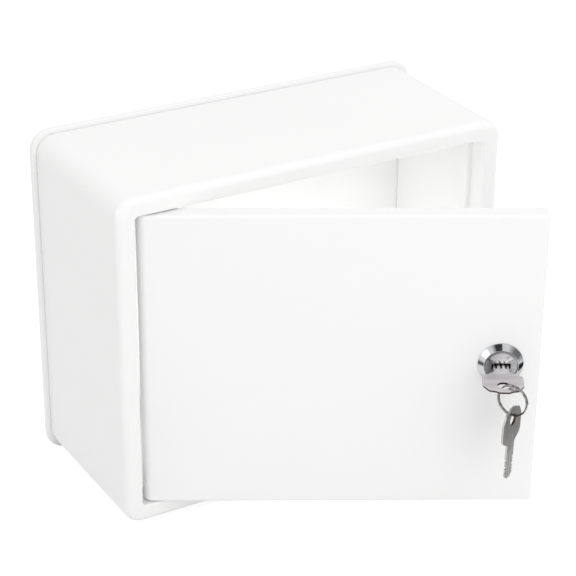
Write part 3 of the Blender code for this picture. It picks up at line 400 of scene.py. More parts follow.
def loft(name, rings, closed=False):
    """A skin through rings of equally many points, capped at both ends unless it closes on itself."""
    def build(work):
        rows = [[work.verts.new(point) for point in ring] for ring in rings]
        count = len(rows[0])
        for level in range(len(rows) if closed else len(rows) - 1):
            low, high = rows[level], rows[(level + 1) % len(rows)]
            for index in range(count):
                after = (index + 1) % count
                work.faces.new((low[index], low[after], high[after], high[index]))
        if not closed:
            work.faces.new(rows[0][::-1])
            work.faces.new(rows[-1])
    return mesh_from(name, build)


def turned(name, profile, closed=False, steps=ROUND_STEPS):
    """A turned solid about the Y axis from (radius, y) points."""
    rings = [[(x, y, z) for x, z in circle(max(radius, TINY), steps)] for radius, y in profile]
    return loft(name, rings, closed)


def inset_outline(outline, distance):
    """An outline moved to its left side, with mitred corners."""
    moved = []
    for index, point in enumerate(outline):
        here = Vector(point)
        back = (here - Vector(outline[index - 1])).normalized()
        onward = (Vector(outline[(index + 1) % len(outline)]) - here).normalized()
        normal = Vector((-back.y - onward.y, back.x + onward.x)).normalized()
        stretch = max(normal.dot(Vector((-onward.y, onward.x))), MITRE_LIMIT)
        moved.append(tuple(here + normal * distance / stretch))
    return moved


def area(outline):
    """Signed area of a flat outline, positive where it runs anticlockwise."""
    return sum(a[0] * b[1] - b[0] * a[1] for a, b in zip(outline, outline[1:] + outline[:1])) / 2


def fill(work, loops):
    """Covers the flat area between an outline's loop of vertices and those of its holes."""
    flat = [vert for loop in loops for vert in loop]
    for corners in tessellate_polygon([[vert.co for vert in loop] for loop in loops]):
        work.faces.new([flat[corner] for corner in corners])


def plate(name, outlines, thickness, edge):
    """A flat plate centred on the XY plane from an outline and its holes, with rounded edges."""
    runs = [outline if (area(outline) > 0) == (number == 0) else outline[::-1]
            for number, outline in enumerate(outlines)]
    bends = [math.pi / 2 * step / PLATE_STEPS for step in range(PLATE_STEPS + 1)]
    levels = [(edge * (1 - math.sin(bend)), -thickness / 2 + edge * (1 - math.cos(bend))) for bend in bends]
    levels += [(inset, -z) for inset, z in reversed(levels)]

    def build(work):
        bottom, top = [], []
        for run in runs:
            rows = [[work.verts.new((x, y, z)) for x, y in inset_outline(run, inset)]
                    for inset, z in levels]
            for low, high in zip(rows, rows[1:]):
                for index in range(len(run)):
                    after = (index + 1) % len(run)
                    work.faces.new((low[index], low[after], high[after], high[index]))
            bottom.append(rows[0])
            top.append(rows[-1])
        for loops in (bottom, top):
            fill(work, loops)
    return mesh_from(name, build)


def box(low, high):
    """A plain box mesh between two corners, for cutting."""
    def build(work):
        bmesh.ops.create_cube(work, size=1.0)
        bmesh.ops.scale(work, vec=Vector(high) - Vector(low), verts=work.verts)
        bmesh.ops.translate(work, vec=(Vector(high) + Vector(low)) / 2, verts=work.verts)
    return mesh_from("cutter", build)


def moved(mesh, matrix):
    """The mesh, with a matrix worked into it."""
    mesh.transform(matrix)
    return mesh


def stood_up(mesh, front, thickness):
    """A flat plate turned upright, with its front at a depth behind the door's face."""
    place = Matrix.Translation((0, front + thickness / 2, 0))
    return moved(mesh, place @ Matrix.Rotation(math.pi / 2, 4, "X"))


def joined(name, meshes):
    """One mesh from several."""
    def build(work):
        for mesh in meshes:
            work.from_mesh(mesh)
    return mesh_from(name, build)


def new_object(name, data):
    """A new object in the scene."""
    made = bpy.data.objects.new(name, data)
    bpy.context.scene.collection.objects.link(made)
    return made


def carved(mesh, cutters, operation="DIFFERENCE"):
    """The mesh after an exact Boolean with each cutter in turn."""
    carrier = new_object("carrier", mesh)
    helpers = [carrier]
    for cutter in cutters:
        helper = new_object("cutter", cutter)
        helpers.append(helper)
        modifier = carrier.modifiers.new("cut", "BOOLEAN")
        modifier.operation = operation
        modifier.solver = "EXACT"
        modifier.object = helper
    evaluated = carrier.evaluated_get(bpy.context.evaluated_depsgraph_get())
    result = bpy.data.meshes.new_from_object(evaluated)
    for helper in helpers:
        bpy.data.objects.remove(helper)
    return result


def add_piece(name, mesh, place, body, nodes, surface):
    """Puts a piece in the scene in place of its solids, smooth but for its sharp edges."""
    piece = new_object(name, mesh)
    piece.matrix_world = place
    mesh.materials.clear()
    mesh.materials.append(surface)
    mesh.shade_smooth()
    mesh.set_sharp_from_angle(angle=SHARP_ANGLE)
    weighted = piece.modifiers.new("normals", "WEIGHTED_NORMAL")
    weighted.keep_sharp = True
    weighted.weight = NORMAL_WEIGHT
    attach(piece, body)
    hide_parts(*nodes)


def link(tree, source, target):
    """Joins two sockets of a node tree."""
    tree.links.new(source, target)


def maths(tree, operation, *inputs):
    """The result of a maths node whose inputs are sockets or numbers."""
    made = tree.nodes.new("ShaderNodeMath")
    made.operation = operation
    for given, entry in zip(inputs, made.inputs):
        if isinstance(given, float):
            entry.default_value = given
        else:
            link(tree, given, entry)
    return made.outputs[0]


def ramp(tree, source, low, high, start=0.3, end=0.7):
    """Maps a value between start and end onto low to high."""
    node = tree.nodes.new("ShaderNodeMapRange")
    node.inputs["From Min"].default_value = start
    node.inputs["From Max"].default_value = end
    node.inputs["To Min"].default_value = low
    node.inputs["To Max"].default_value = high
    link(tree, source, node.inputs["Value"])
    return node.outputs["Result"]


def noise(tree, coordinates, scale, detail, stretch):
    """A noise texture in the piece's own frame, stretched along its axes."""
    mapping = tree.nodes.new("ShaderNodeMapping")
    mapping.inputs["Scale"].default_value = stretch
    link(tree, coordinates, mapping.inputs["Vector"])
    texture = tree.nodes.new("ShaderNodeTexNoise")
    texture.inputs["Scale"].default_value = scale
    texture.inputs["Detail"].default_value = detail
    link(tree, mapping.outputs["Vector"], texture.inputs["Vector"])
    return texture.outputs["Fac"]


def new_surface(name, dark, light, roughness, metallic=0.0, broad=9.0, grain=2500.0, bump=0.15,
                stretch=(1.0, 1.0, 1.0)):
    """A material whose colour and roughness drift slowly and whose surface has a fine grain.

    The broad noise varies the colour, and the grain varies the roughness and the height.
    """
    made = bpy.data.materials.new(name)
    made.use_nodes = True
    tree = made.node_tree
    shader = tree.nodes["Principled BSDF"]
    shader.inputs["Metallic"].default_value = metallic
    coordinates = tree.nodes.new("ShaderNodeTexCoord").outputs["Object"]
    broad_noise = noise(tree, coordinates, broad, BROAD_DETAIL, stretch)
    grain_noise = noise(tree, coordinates, grain, GRAIN_DETAIL, stretch)
    mix = tree.nodes.new("ShaderNodeMix")
    mix.data_type = "RGBA"
    mix.inputs["A"].default_value = (*dark, 1.0)
    mix.inputs["B"].default_value = (*light, 1.0)
    link(tree, ramp(tree, broad_noise, 0.0, 1.0), mix.inputs["Factor"])
    link(tree, mix.outputs["Result"], shader.inputs["Base Color"])
    link(tree, ramp(tree, grain_noise, *roughness), shader.inputs["Roughness"])
    height = tree.nodes.new("ShaderNodeBump")
    height.inputs["Strength"].default_value = bump
    height.inputs["Distance"].default_value = GRAIN_HEIGHT
    link(tree, grain_noise, height.inputs["Height"])
    link(tree, height.outputs["Normal"], shader.inputs["Normal"])
    return made


def paint_shade_past(surface, value, start, end, tint):
    """Darkens a surface's colour by a tint where a value goes from start past end: painted shade."""
    tree = surface.node_tree
    shader = tree.nodes["Principled BSDF"]
    low, high, at_low, at_high = (start, end, 0.0, 1.0) if start < end else (end, start, 1.0, 0.0)
    mix = tree.nodes.new("ShaderNodeMix")
    mix.data_type = "RGBA"
    mix.blend_type = "MULTIPLY"
    mix.inputs["B"].default_value = (*tint, 1.0)
    link(tree, shader.inputs["Base Color"].links[0].from_socket, mix.inputs["A"])
    link(tree, ramp(tree, value, at_low, at_high, low, high), mix.inputs["Factor"])
    link(tree, mix.outputs["Result"], shader.inputs["Base Color"])


def along(surface, axis):
    """A coordinate of the piece's own frame."""
    tree = surface.node_tree
    split = tree.nodes.new("ShaderNodeSeparateXYZ")
    link(tree, tree.nodes.new("ShaderNodeTexCoord").outputs["Object"], split.inputs[0])
    return split.outputs[axis]


def either_side(surface, axis):
    """The distance from the middle plane of the piece's own frame along one axis."""
    return maths(surface.node_tree, "ABSOLUTE", along(surface, axis))


def from_slot(surface, width, height):
    """A value that is half a slot's width all round the slot's edge, and less inside it."""
    tree = surface.node_tree
    upright = maths(tree, "ADD", either_side(surface, "Z"), (width - height) / 2)
    return maths(tree, "MAXIMUM", upright, either_side(surface, "X"))


def from_line(surface, point, across):
    """The distance from a line through a point; across is 0 on the line's axis and 1 on the others."""
    tree = surface.node_tree
    flat = tree.nodes.new("ShaderNodeVectorMath")
    flat.operation = "MULTIPLY"
    flat.inputs[1].default_value = across
    link(tree, tree.nodes.new("ShaderNodeTexCoord").outputs["Object"], flat.inputs[0])
    distance = tree.nodes.new("ShaderNodeVectorMath")
    distance.operation = "DISTANCE"
    distance.inputs[1].default_value = point
    link(tree, flat.outputs[0], distance.inputs[0])
    return distance.outputs["Value"]


# Surfaces. The key is brushed across, the spare along its length, and the box has a satin grain
SHELL_PLASTIC = new_surface("shell_plastic", (0.898, 0.898, 0.894), (0.905, 0.905, 0.902), (0.36, 0.44))
DOOR_PLASTIC = new_surface("door_plastic", (0.902, 0.902, 0.899), (0.909, 0.909, 0.907), (0.33, 0.41))
PLATE_PLASTIC = new_surface("plate_plastic", (0.892, 0.892, 0.888), (0.900, 0.900, 0.897), (0.40, 0.48))
CHROME = new_surface("bezel_chrome", (0.56, 0.57, 0.58), (0.60, 0.61, 0.62), (0.06, 0.10), 1.0,
                     broad=120.0, grain=5000.0, bump=0.03)
PLUG_METAL = new_surface("plug_nickel", (0.82, 0.82, 0.83), (0.99, 0.99, 0.99), (0.14, 0.24), 1.0,
                         broad=1100.0, grain=3000.0, bump=0.25, stretch=(0.18, 1.0, 1.0))
# Painted shade on the plug: its raised face round the sunk sectors is painted darker than the sectors, and
# its left side darker than its right.
paint_shade_past(PLUG_METAL, along(PLUG_METAL, "Y"), PLUG_FACE + 4 * FADE, PLUG_FACE + 2 * FADE,
          (0.44, 0.44, 0.45))
paint_shade_past(PLUG_METAL, along(PLUG_METAL, "X"), PLUG_SHADE_START, PLUG_SHADE_END, (0.62, 0.62, 0.63))
# Painted shade: the plug is painted nearly black on the keyway's walls, inside the keyway's outline.
SLOT_EDGE = KEYWAY_WIDTH / 2 + KEYWAY_CHAMFER
paint_shade_past(PLUG_METAL, from_slot(PLUG_METAL, KEYWAY_WIDTH, KEYWAY_HEIGHT), SLOT_EDGE, SLOT_EDGE - FADE,
          (0.05, 0.045, 0.04))
KEY_METAL = new_surface("key_nickel", (0.78, 0.76, 0.775), (0.98, 0.965, 0.975), (0.38, 0.50), 1.0,
                        broad=500.0, grain=4000.0, bump=0.3, stretch=(0.12, 1.0, 1.0))
FACE = KEY_THICKNESS / 2
# Painted highlight and shade: the key's bow past its shoulders is painted darker, so that its neck and
# blade show lighter.
paint_shade_past(KEY_METAL, along(KEY_METAL, "Y"), -KEY_PIVOT, -KEY_PIVOT - BOW_SHOULDER_LENGTH,
          (0.77, 0.755, 0.765))
# Painted shade: the key's edges, the walls of its cuts and hole, and the floors of its grooves are painted
# nearly black.
paint_shade_past(KEY_METAL, either_side(KEY_METAL, "Z"), FACE - FADE, FACE - 2 * FADE, (0.12, 0.10, 0.09))
# Painted shade: the wall of the key's hole is painted darker.
paint_shade_past(KEY_METAL, from_line(KEY_METAL, (0, -KEY_PIVOT - BOW_HOLE, 0), (1, 1, 0)),
          BOW_HOLE_RADIUS + 2 * FADE, BOW_HOLE_RADIUS + FADE, (0.35, 0.32, 0.30))
# Painted shade: the spare's nickel is a darker copy of the key's, and its broad faces are painted darker
# than its edges.
SPARE_METAL = new_surface("spare_nickel", (0.40, 0.395, 0.39), (0.62, 0.62, 0.615), (0.26, 0.38), 1.0,
                          broad=400.0, grain=4000.0, bump=0.3, stretch=(1.0, 1.0, 0.15))
paint_shade_past(SPARE_METAL, either_side(SPARE_METAL, "X"), FACE - 2 * FADE, FACE - FADE, (0.40, 0.39, 0.385))
# Painted shade: the wall of the spare's hole is painted dark.
paint_shade_past(SPARE_METAL, from_line(SPARE_METAL, (0, 0, -SPARE_HOLE_BELOW_WIRE), (0, 1, 1)),
          BOW_HOLE_RADIUS + 2 * FADE, BOW_HOLE_RADIUS + FADE, (0.16, 0.13, 0.11))
RING_STEEL = new_surface("ring_steel", (0.10, 0.095, 0.09), (0.46, 0.455, 0.45), (0.14, 0.26), 1.0,
                         broad=600.0, grain=5000.0, bump=0.2)
ZINC = new_surface("zinc_plate", (0.56, 0.57, 0.59), (0.70, 0.71, 0.72), (0.30, 0.44), 1.0,
                   broad=260.0, grain=3500.0, bump=0.25)
PIN_STEEL = new_surface("pin_steel", (0.52, 0.52, 0.53), (0.64, 0.64, 0.65), (0.26, 0.38), 1.0,
                        broad=300.0, grain=5000.0, bump=0.2, stretch=(1.0, 1.0, 0.1))
BRASS = new_surface("wafer_brass", (0.66, 0.50, 0.24), (0.78, 0.62, 0.33), (0.26, 0.40), 1.0,
                    broad=500.0, grain=5000.0, bump=0.2)


def body_shell():
    """The moulded shell: sides, round front edge, flat rim, jamb, stop, and the hollow behind them."""
    jamb_back = JAMB_DEPTH + STOP_THICKNESS
    stop_inner = RIM_WIDTH + STOP_WIDTH
    jamb_outer = RIM_WIDTH - JAMB_WALL
    profile = softened([
        (-BODY_DRAFT, SHELL_DEPTH, PLATE_BACK_EDGE),
        (0.0, 0.0, FRONT_EDGE_RADIUS),
        (RIM_WIDTH, 0.0, OPENING_EDGE_RADIUS),
        (RIM_WIDTH, JAMB_DEPTH, STOP_EDGE_RADIUS / 2),
        (stop_inner, JAMB_DEPTH, STOP_EDGE_RADIUS),
        (stop_inner, jamb_back, STOP_EDGE_RADIUS),
        (jamb_outer, jamb_back, STOP_EDGE_RADIUS),
        (jamb_outer, WALL, STOP_EDGE_RADIUS),
        (WALL, WALL, STOP_EDGE_RADIUS),
        (WALL - BODY_DRAFT, SHELL_DEPTH, PLATE_BACK_EDGE)], steps=SHELL_STEPS)
    rings = []
    for inset, depth in profile:
        if inset < RIM_WIDTH / 2:
            corner = BODY_CORNER - inset
        else:
            corner = max(OPENING_CORNER, OPENING_CORNER + RIM_WIDTH - inset)
        rings.append(rounded_rectangle(
            BODY_WIDTH / 2 - inset, BODY_HEIGHT / 2 - inset, corner, FRONT_Y + depth))
    skin = loft("shell", rings, closed=True)
    extras = []
    for side_x in (-1, 1):
        for side_z in (-1, 1):
            boss = turned("boss", softened([
                (0.0, -BOSS_LENGTH), (BOSS_RADIUS, -BOSS_LENGTH, OPENING_EDGE_RADIUS), (BOSS_RADIUS, 0.0),
                (SCREW_SHANK_RADIUS + SEAT_GAP, 0.0), (SCREW_SHANK_RADIUS + SEAT_GAP, -SCREW_LENGTH),
                (0.0, -SCREW_LENGTH)], closed=False), steps=SMALL_ROUND_STEPS)
            place = Matrix.Translation((side_x * BOSS_X, FRONT_Y + SHELL_DEPTH, side_z * BOSS_Z))
            extras.append(moved(boss, place))
    for side_z in (-1, 1):
        low, high = sorted((
            side_z * (OPENING_HEIGHT / 2 + JAMB_WALL / 2), side_z * (BODY_HEIGHT / 2 - WALL / 2)))
        extras.append(box(
            (HINGE_X - PIN_BLOCK_WIDTH / 2, FRONT_Y + WALL / 2, low),
            (HINGE_X + PIN_BLOCK_WIDTH / 2, FRONT_Y + JAMB_DEPTH, high)))
    add_piece("shell", joined("shell", [skin] + extras), BOX_FRAME, "case", ["body_shell"],
              SHELL_PLASTIC)


def back_plate():
    """The plate behind the shell, with its letter slot, screw holes and wall holes."""
    profile = softened([
        (PLATE_FACE_INSET, 0.0), (0.0, 0.0, PLATE_BACK_EDGE), (0.0, -PLATE_THICKNESS, PLATE_EDGE_RADIUS),
        (PLATE_FACE_INSET, -PLATE_THICKNESS)], closed=False)
    half_width = BODY_WIDTH / 2 + BODY_DRAFT + PLATE_LIP
    half_height = BODY_HEIGHT / 2 + BODY_DRAFT + PLATE_LIP
    blank = loft("plate", [
        rounded_rectangle(half_width - inset, half_height - inset, PLATE_CORNER - inset, y)
        for inset, y in profile])
    flare = SLOT_CHAMFER + CUT_MARGIN
    slot = loft("slot", [
        rounded_rectangle(SLOT_WIDTH / 2 + grow, SLOT_HEIGHT / 2 + grow, SLOT_CORNER + grow, y)
        for grow, y in ((flare, -PLATE_THICKNESS - CUT_MARGIN), (0.0, -PLATE_THICKNESS + SLOT_CHAMFER),
                        (0.0, -SLOT_CHAMFER), (flare, CUT_MARGIN))])
    cutters = [moved(slot, Matrix.Translation((0, 0, SLOT_Z)))]
    through = -PLATE_THICKNESS - CUT_MARGIN
    shank = SCREW_SHANK_RADIUS + SEAT_GAP
    sink = SCREW_HEAD_RADIUS + SEAT_GAP
    for side_x in (-1, 1):
        for side_z in (-1, 1):
            screw_hole = turned("screw_hole", [
                (shank, through), (shank, -SCREW_HEAD_DEPTH - SEAT_GAP), (sink, 0.0), (sink, CUT_MARGIN)],
                steps=SMALL_ROUND_STEPS)
            cutters.append(moved(screw_hole, Matrix.Translation((side_x * BOSS_X, 0, side_z * BOSS_Z))))
            wall_hole = turned("wall_hole", [
                (WALL_HOLE_SINK_RADIUS, through), (WALL_HOLE_SINK_RADIUS, -PLATE_THICKNESS),
                (WALL_HOLE_RADIUS, -PLATE_THICKNESS + WALL_HOLE_SINK_DEPTH),
                (WALL_HOLE_RADIUS, CUT_MARGIN)],
                steps=SMALL_ROUND_STEPS)
            cutters.append(moved(wall_hole, Matrix.Translation((
                side_x * (BODY_WIDTH / 2 - WALL_HOLE_FROM_SIDE), 0, side_z * WALL_HOLE_FROM_MIDDLE))))
    add_piece("plate", carved(blank, cutters), BOX_FRAME, "case", ["back_plate"],
              PLATE_PLASTIC)


def back_plate_screws():
    """Four countersunk screws with a cross recess."""
    head, shank = SCREW_HEAD_RADIUS, SCREW_SHANK_RADIUS
    root = shank * SCREW_ROOT_SHARE
    thread = []
    start = SCREW_HEAD_DEPTH + SCREW_THREAD_START
    step = (SCREW_LENGTH - start - shank) / SCREW_THREAD_TURNS
    for number in range(SCREW_THREAD_TURNS):
        thread += [(root, -start - step * number), (shank, -start - step * (number + 0.5))]
    blank = turned("screw", softened(
        [(0.0, 0.0), (head, 0.0, SOFT_EDGE), (root, -SCREW_HEAD_DEPTH)], closed=False)
        + thread + [(root, -SCREW_LENGTH + shank), (0.0, -SCREW_LENGTH)], steps=SMALL_ROUND_STEPS)
    span, width, deep = SCREW_RECESS_SPAN / 2, SCREW_RECESS_WIDTH / 2, SCREW_RECESS_DEPTH
    mesh = carved(blank, [
        box((-span, -deep, -width), (span, CUT_MARGIN, width)),
        box((-width, -deep, -span), (width, CUT_MARGIN, span))])
    corners = [(side_x, side_z) for side_z in (1, -1) for side_x in (-1, 1)]
    for number, (side_x, side_z) in enumerate(corners, 1):
        place = Matrix.Translation((side_x * BOSS_X, -SEAT_GAP / 2, side_z * BOSS_Z))
        add_piece(f"plate_screw_{number}", mesh.copy(), place, "case", [f"back_plate_screw_{number}"],
                  ZINC)


def lock_body_outline(clearance=0.0):
    """The lock body's section, a circle with two flats, as (x, y) points."""
    radius = LOCK_BODY_RADIUS + clearance
    reach = math.asin((LOCK_BODY_FLATS / 2 + clearance) / radius)
    steps = ROUND_STEPS // 3
    return arc(radius, -reach, reach, steps) + arc(radius, math.pi - reach, math.pi + reach, steps)


def door():
    """The door: a moulded tray with a round hinge edge, soft outer edges, ribs and the lock's hole."""
    half = DOOR_HALF
    top = DOOR_HEIGHT / 2

    def plan(inset, z):
        corners = [(-half, -half, half), (DOOR_LENGTH, -half, DOOR_EDGE_RADIUS),
                   (DOOR_LENGTH, half, DOOR_BACK_EDGE), (-half, half, half)]
        points = [(x + side_x * inset, y + side_y * inset, max(radius - inset, TINY))
                  for (x, y, radius), (side_x, side_y) in zip(corners, CORNER_SIGNS)]
        return [(x, y, z) for x, y in softened(points, DOOR_STEPS)]

    bends = [math.pi / 2 * step / EDGE_STEPS for step in range(EDGE_STEPS + 1)]
    levels = [(DOOR_EDGE_RADIUS * (1 - math.sin(bend)), -top + DOOR_EDGE_RADIUS * (1 - math.cos(bend)))
              for bend in bends]
    levels += [(inset, -z) for inset, z in reversed(levels)]
    blank = loft("door", [plan(inset, z) for inset, z in levels])

    left = -half + DOOR_BAR_WIDTH
    right = DOOR_LENGTH - DOOR_RIM_WALL
    edge = top - DOOR_RIM_WALL
    floor = -half + DOOR_FACE_WALL
    rib_half = DOOR_RIB_WIDTH / 2
    pockets = [(-edge, -DOOR_RIB_FROM_MIDDLE - rib_half),
               (-DOOR_RIB_FROM_MIDDLE + rib_half, DOOR_RIB_FROM_MIDDLE - rib_half),
               (DOOR_RIB_FROM_MIDDLE + rib_half, edge)]
    hollows = [(low, high, floor) for low, high in pockets] + [(-edge, edge, half - DOOR_RIB_SET_BACK)]
    cutters = []
    for low, high, bottom in hollows:
        hollow = loft("hollow", [
            rounded_rectangle((right - left) / 2, (high - low) / 2, TRAY_CORNER, y)
            for y in (bottom, half + CUT_MARGIN)])
        cutters.append(moved(hollow, Matrix.Translation(((left + right) / 2, 0, (low + high) / 2))))
    hole = plate("lock_hole", [lock_body_outline(SEAT_GAP)], 2 * DOOR_THICKNESS, TINY)
    hole = stood_up(hole, -DOOR_THICKNESS, 2 * DOOR_THICKNESS)
    cutters.append(moved(hole, Matrix.Translation((LOCK_FROM_HINGE, 0, 0))))
    for side in (-1, 1):
        radius = PIN_RADIUS + SEAT_GAP
        bore = turned("bore", [(radius, 0.0), (radius, PIN_IN_DOOR + CUT_MARGIN)], steps=SMALL_ROUND_STEPS)
        place = Matrix.Translation((0, 0, side * (top + CUT_MARGIN)))
        cutters.append(moved(bore, place @ Matrix.Rotation(-side * math.pi / 2, 4, "X")))
    add_piece("door", carved(blank, cutters), HINGE_FRAME, "door", ["door_panel"],
              DOOR_PLASTIC)


def lock_housing():
    """The lock's body: conical bezel, bore for the plug, and a threaded shank with two flats."""
    head_bore = PLUG_HEAD_RADIUS + SEAT_GAP
    head_floor = PLUG_HEAD_BACK + SEAT_GAP
    bore = PLUG_RADIUS + SEAT_GAP
    rim = head_bore + BEZEL_TOP_WIDTH
    seat = -TINY
    start = DOOR_FACE_WALL + WASHER_THICKNESS
    count = int((LOCK_BODY_END - start) / THREAD_PITCH)
    thread = []
    for number in range(count, 0, -1):
        crest = start + THREAD_PITCH * number
        thread += [(LOCK_BODY_RADIUS, crest), (LOCK_BODY_RADIUS - THREAD_DEPTH, crest - THREAD_PITCH / 2)]
    profile = softened([
        (BEZEL_RADIUS, seat, FINE_EDGE), (BEZEL_RADIUS, seat - BEZEL_LIP, SOFT_EDGE),
        (rim, -BEZEL_HEIGHT, BEZEL_RIM_EDGE), (head_bore, -BEZEL_HEIGHT, FINE_EDGE),
        (head_bore, head_floor), (bore, head_floor), (bore, LOCK_BODY_END, SMALL_EDGE),
        (LOCK_BODY_RADIUS - THREAD_DEPTH, LOCK_BODY_END, SMALL_EDGE)]
        + thread + [(LOCK_BODY_RADIUS, start), (LOCK_BODY_RADIUS, seat)])
    blank = turned("housing", profile, closed=True)
    reach = LOCK_BODY_RADIUS + CUT_MARGIN
    cutters = []
    for side in (-1, 1):
        low, high = sorted((side * LOCK_BODY_FLATS / 2, side * reach))
        cutters.append(box((-reach, seat, low), (reach, LOCK_BODY_END + CUT_MARGIN, high)))
    add_piece("lock_body", carved(blank, cutters), LOCK_FRAME, "door", ["lock_housing"],
              CHROME)


def lock_fixings():
    """The toothed washer and the chamfered hexagon nut behind the door's face."""
    bore = LOCK_BODY_RADIUS + SEAT_GAP
    washer_front = DOOR_FACE_WALL + SEAT_GAP
    teeth = []
    for index in range(2 * WASHER_TEETH):
        radius = bore if index % 2 else bore + WASHER_TOOTH
        start = math.pi * index / WASHER_TEETH
        teeth += arc(radius, start, start + WASHER_TOOTH_SHARE * math.pi / WASHER_TEETH, TOOTH_STEPS)
    washer = plate("washer", [circle(WASHER_RADIUS), teeth], WASHER_THICKNESS, FINE_EDGE)
    add_piece("lock_toothed_washer", stood_up(washer, washer_front, WASHER_THICKNESS), LOCK_FRAME, "door",
              ["lock_washer"], ZINC)
    front = washer_front + WASHER_THICKNESS + SEAT_GAP
    corner = NUT_ACROSS_FLATS / 2 / math.cos(math.pi / NUT_SIDES)
    blank = plate("nut", [circle(corner, NUT_SIDES), circle(bore)], NUT_THICKNESS, NUT_EDGE)
    blank = stood_up(blank, front, NUT_THICKNESS)
    flat = NUT_ACROSS_FLATS / 2
    drop = (corner - flat) * math.tan(NUT_CHAMFER_ANGLE)
    cone = turned("cone", [(flat, front), (corner, front + drop), (corner, front + NUT_THICKNESS - drop),
                           (flat, front + NUT_THICKNESS)])
    add_piece("lock_hexagon_nut", carved(blank, [cone], "INTERSECT"), LOCK_FRAME, "door", ["lock_nut"],
              ZINC)


def lock_plug():
    """The plug: a head with a sunk bow-tie face, the keyway, a barrel and a square tail."""
    blank = turned("plug", softened([
        (0.0, PLUG_FACE), (PLUG_HEAD_RADIUS, PLUG_FACE, SOFT_EDGE),
        (PLUG_HEAD_RADIUS, PLUG_HEAD_BACK, FINE_EDGE), (PLUG_RADIUS, PLUG_HEAD_BACK),
        (PLUG_RADIUS, PLUG_END, SOFT_EDGE), (0.0, PLUG_END)], closed=False))
    tail = PLUG_TAIL_SIDE / 2
    reach = PLUG_RADIUS + CUT_MARGIN
    end = PLUG_END + CUT_MARGIN
    cutters = []
    for side in (-1, 1):
        low, high = sorted((side * tail, side * reach))
        cutters.append(box((low, LOCK_BODY_END, -reach), (high, end, reach)))
        cutters.append(box((-reach, LOCK_BODY_END, low), (reach, end, high)))
    rings = [(KEYWAY_CHAMFER + CUT_MARGIN, PLUG_FACE - CUT_MARGIN), (0.0, PLUG_FACE + KEYWAY_CHAMFER),
             (0.0, KEYWAY_END)]
    cutters.append(loft("keyway", [
        rounded_rectangle(KEYWAY_WIDTH / 2 + grow, KEYWAY_HEIGHT / 2 + grow, KEYWAY_CORNER + grow, y,
                          KEYWAY_STEPS)
        for grow, y in rings]))
    half = PLUG_FACE_SECTOR_HALF_ANGLE
    for centre in (math.pi / 2, -math.pi / 2):
        rim = arc(PLUG_FACE_SECTOR_RADIUS, centre - half, centre + half, SECTOR_STEPS)
        outline = softened([(0.0, 0.0, SOFT_EDGE)] + rim)
        sector = plate("sector", [outline], PLUG_FACE_RECESS + CUT_MARGIN, SMALL_EDGE)
        cutters.append(stood_up(sector, PLUG_FACE - CUT_MARGIN, PLUG_FACE_RECESS + CUT_MARGIN))
    thread = CAM_SCREW_RADIUS + SEAT_GAP
    cutters.append(turned("thread", [(thread, PLUG_END - CAM_SCREW_IN_PLUG - SEAT_GAP), (thread, end)],
                          steps=SMALL_ROUND_STEPS))
    add_piece("plug", carved(blank, cutters), LOCK_FRAME, "plug", ["lock_plug"], PLUG_METAL)


def cam_parts():
    """The stop washer, the cam, and the washer and slotted screw that hold them on the tail."""
    side = PLUG_TAIL_SIDE / 2 + SEAT_GAP
    hole = [(side, side), (-side, side), (-side, -side), (side, -side)]
    stop = plate("stop", [circle(STOP_WASHER_RADIUS), hole], STOP_WASHER_THICKNESS, FINE_EDGE)
    add_piece("cam_stop", stood_up(stop, STOP_WASHER_FRONT, STOP_WASHER_THICKNESS), LOCK_FRAME, "plug",
              ["cam_stop_washer"], ZINC)
    half = CAM_WIDTH / 2
    meet = math.acos(half / CAM_HUB_RADIUS)
    hub = arc(CAM_HUB_RADIUS, math.pi - meet, 2 * math.pi + meet, CAM_HUB_STEPS)
    tip = arc(half, 0.0, math.pi, CAM_TIP_STEPS, centre=(0.0, CAM_REACH - half))
    cam = plate("cam", [hub + tip, hole], CAM_THICKNESS, SOFT_EDGE)
    add_piece("cam", stood_up(cam, CAM_FRONT, CAM_THICKNESS), LOCK_FRAME, "plug", ["lock_cam"],
              ZINC)
    washer_front = CAM_FRONT + CAM_THICKNESS + SEAT_GAP
    washer = plate("washer", [circle(CAM_WASHER_RADIUS), circle(CAM_SCREW_RADIUS + SEAT_GAP)],
                   CAM_WASHER_THICKNESS, FINE_EDGE)
    add_piece("cam_flat_washer", stood_up(washer, washer_front, CAM_WASHER_THICKNESS), LOCK_FRAME, "plug",
              ["cam_washer"], ZINC)
    head_front = washer_front + CAM_WASHER_THICKNESS + SEAT_GAP
    head_back = head_front + CAM_SCREW_HEAD_HEIGHT
    start = PLUG_END - CAM_SCREW_IN_PLUG
    blank = turned("cam_screw", softened([
        (0.0, start), (CAM_SCREW_RADIUS, start, SOFT_EDGE), (CAM_SCREW_RADIUS, head_front),
        (CAM_SCREW_HEAD_RADIUS, head_front, FINE_EDGE),
        (CAM_SCREW_HEAD_RADIUS, head_back, CAM_SCREW_HEAD_EDGE), (0.0, head_back)], closed=False),
        steps=SMALL_ROUND_STEPS)
    reach = CAM_SCREW_HEAD_RADIUS + CUT_MARGIN
    slot = box((-reach, head_back - CAM_SCREW_SLOT, -CAM_SCREW_SLOT / 2),
               (reach, head_back + CUT_MARGIN, CAM_SCREW_SLOT / 2))
    add_piece("cam_slotted_screw", carved(blank, [slot]), LOCK_FRAME, "plug", ["cam_screw"],
              ZINC)


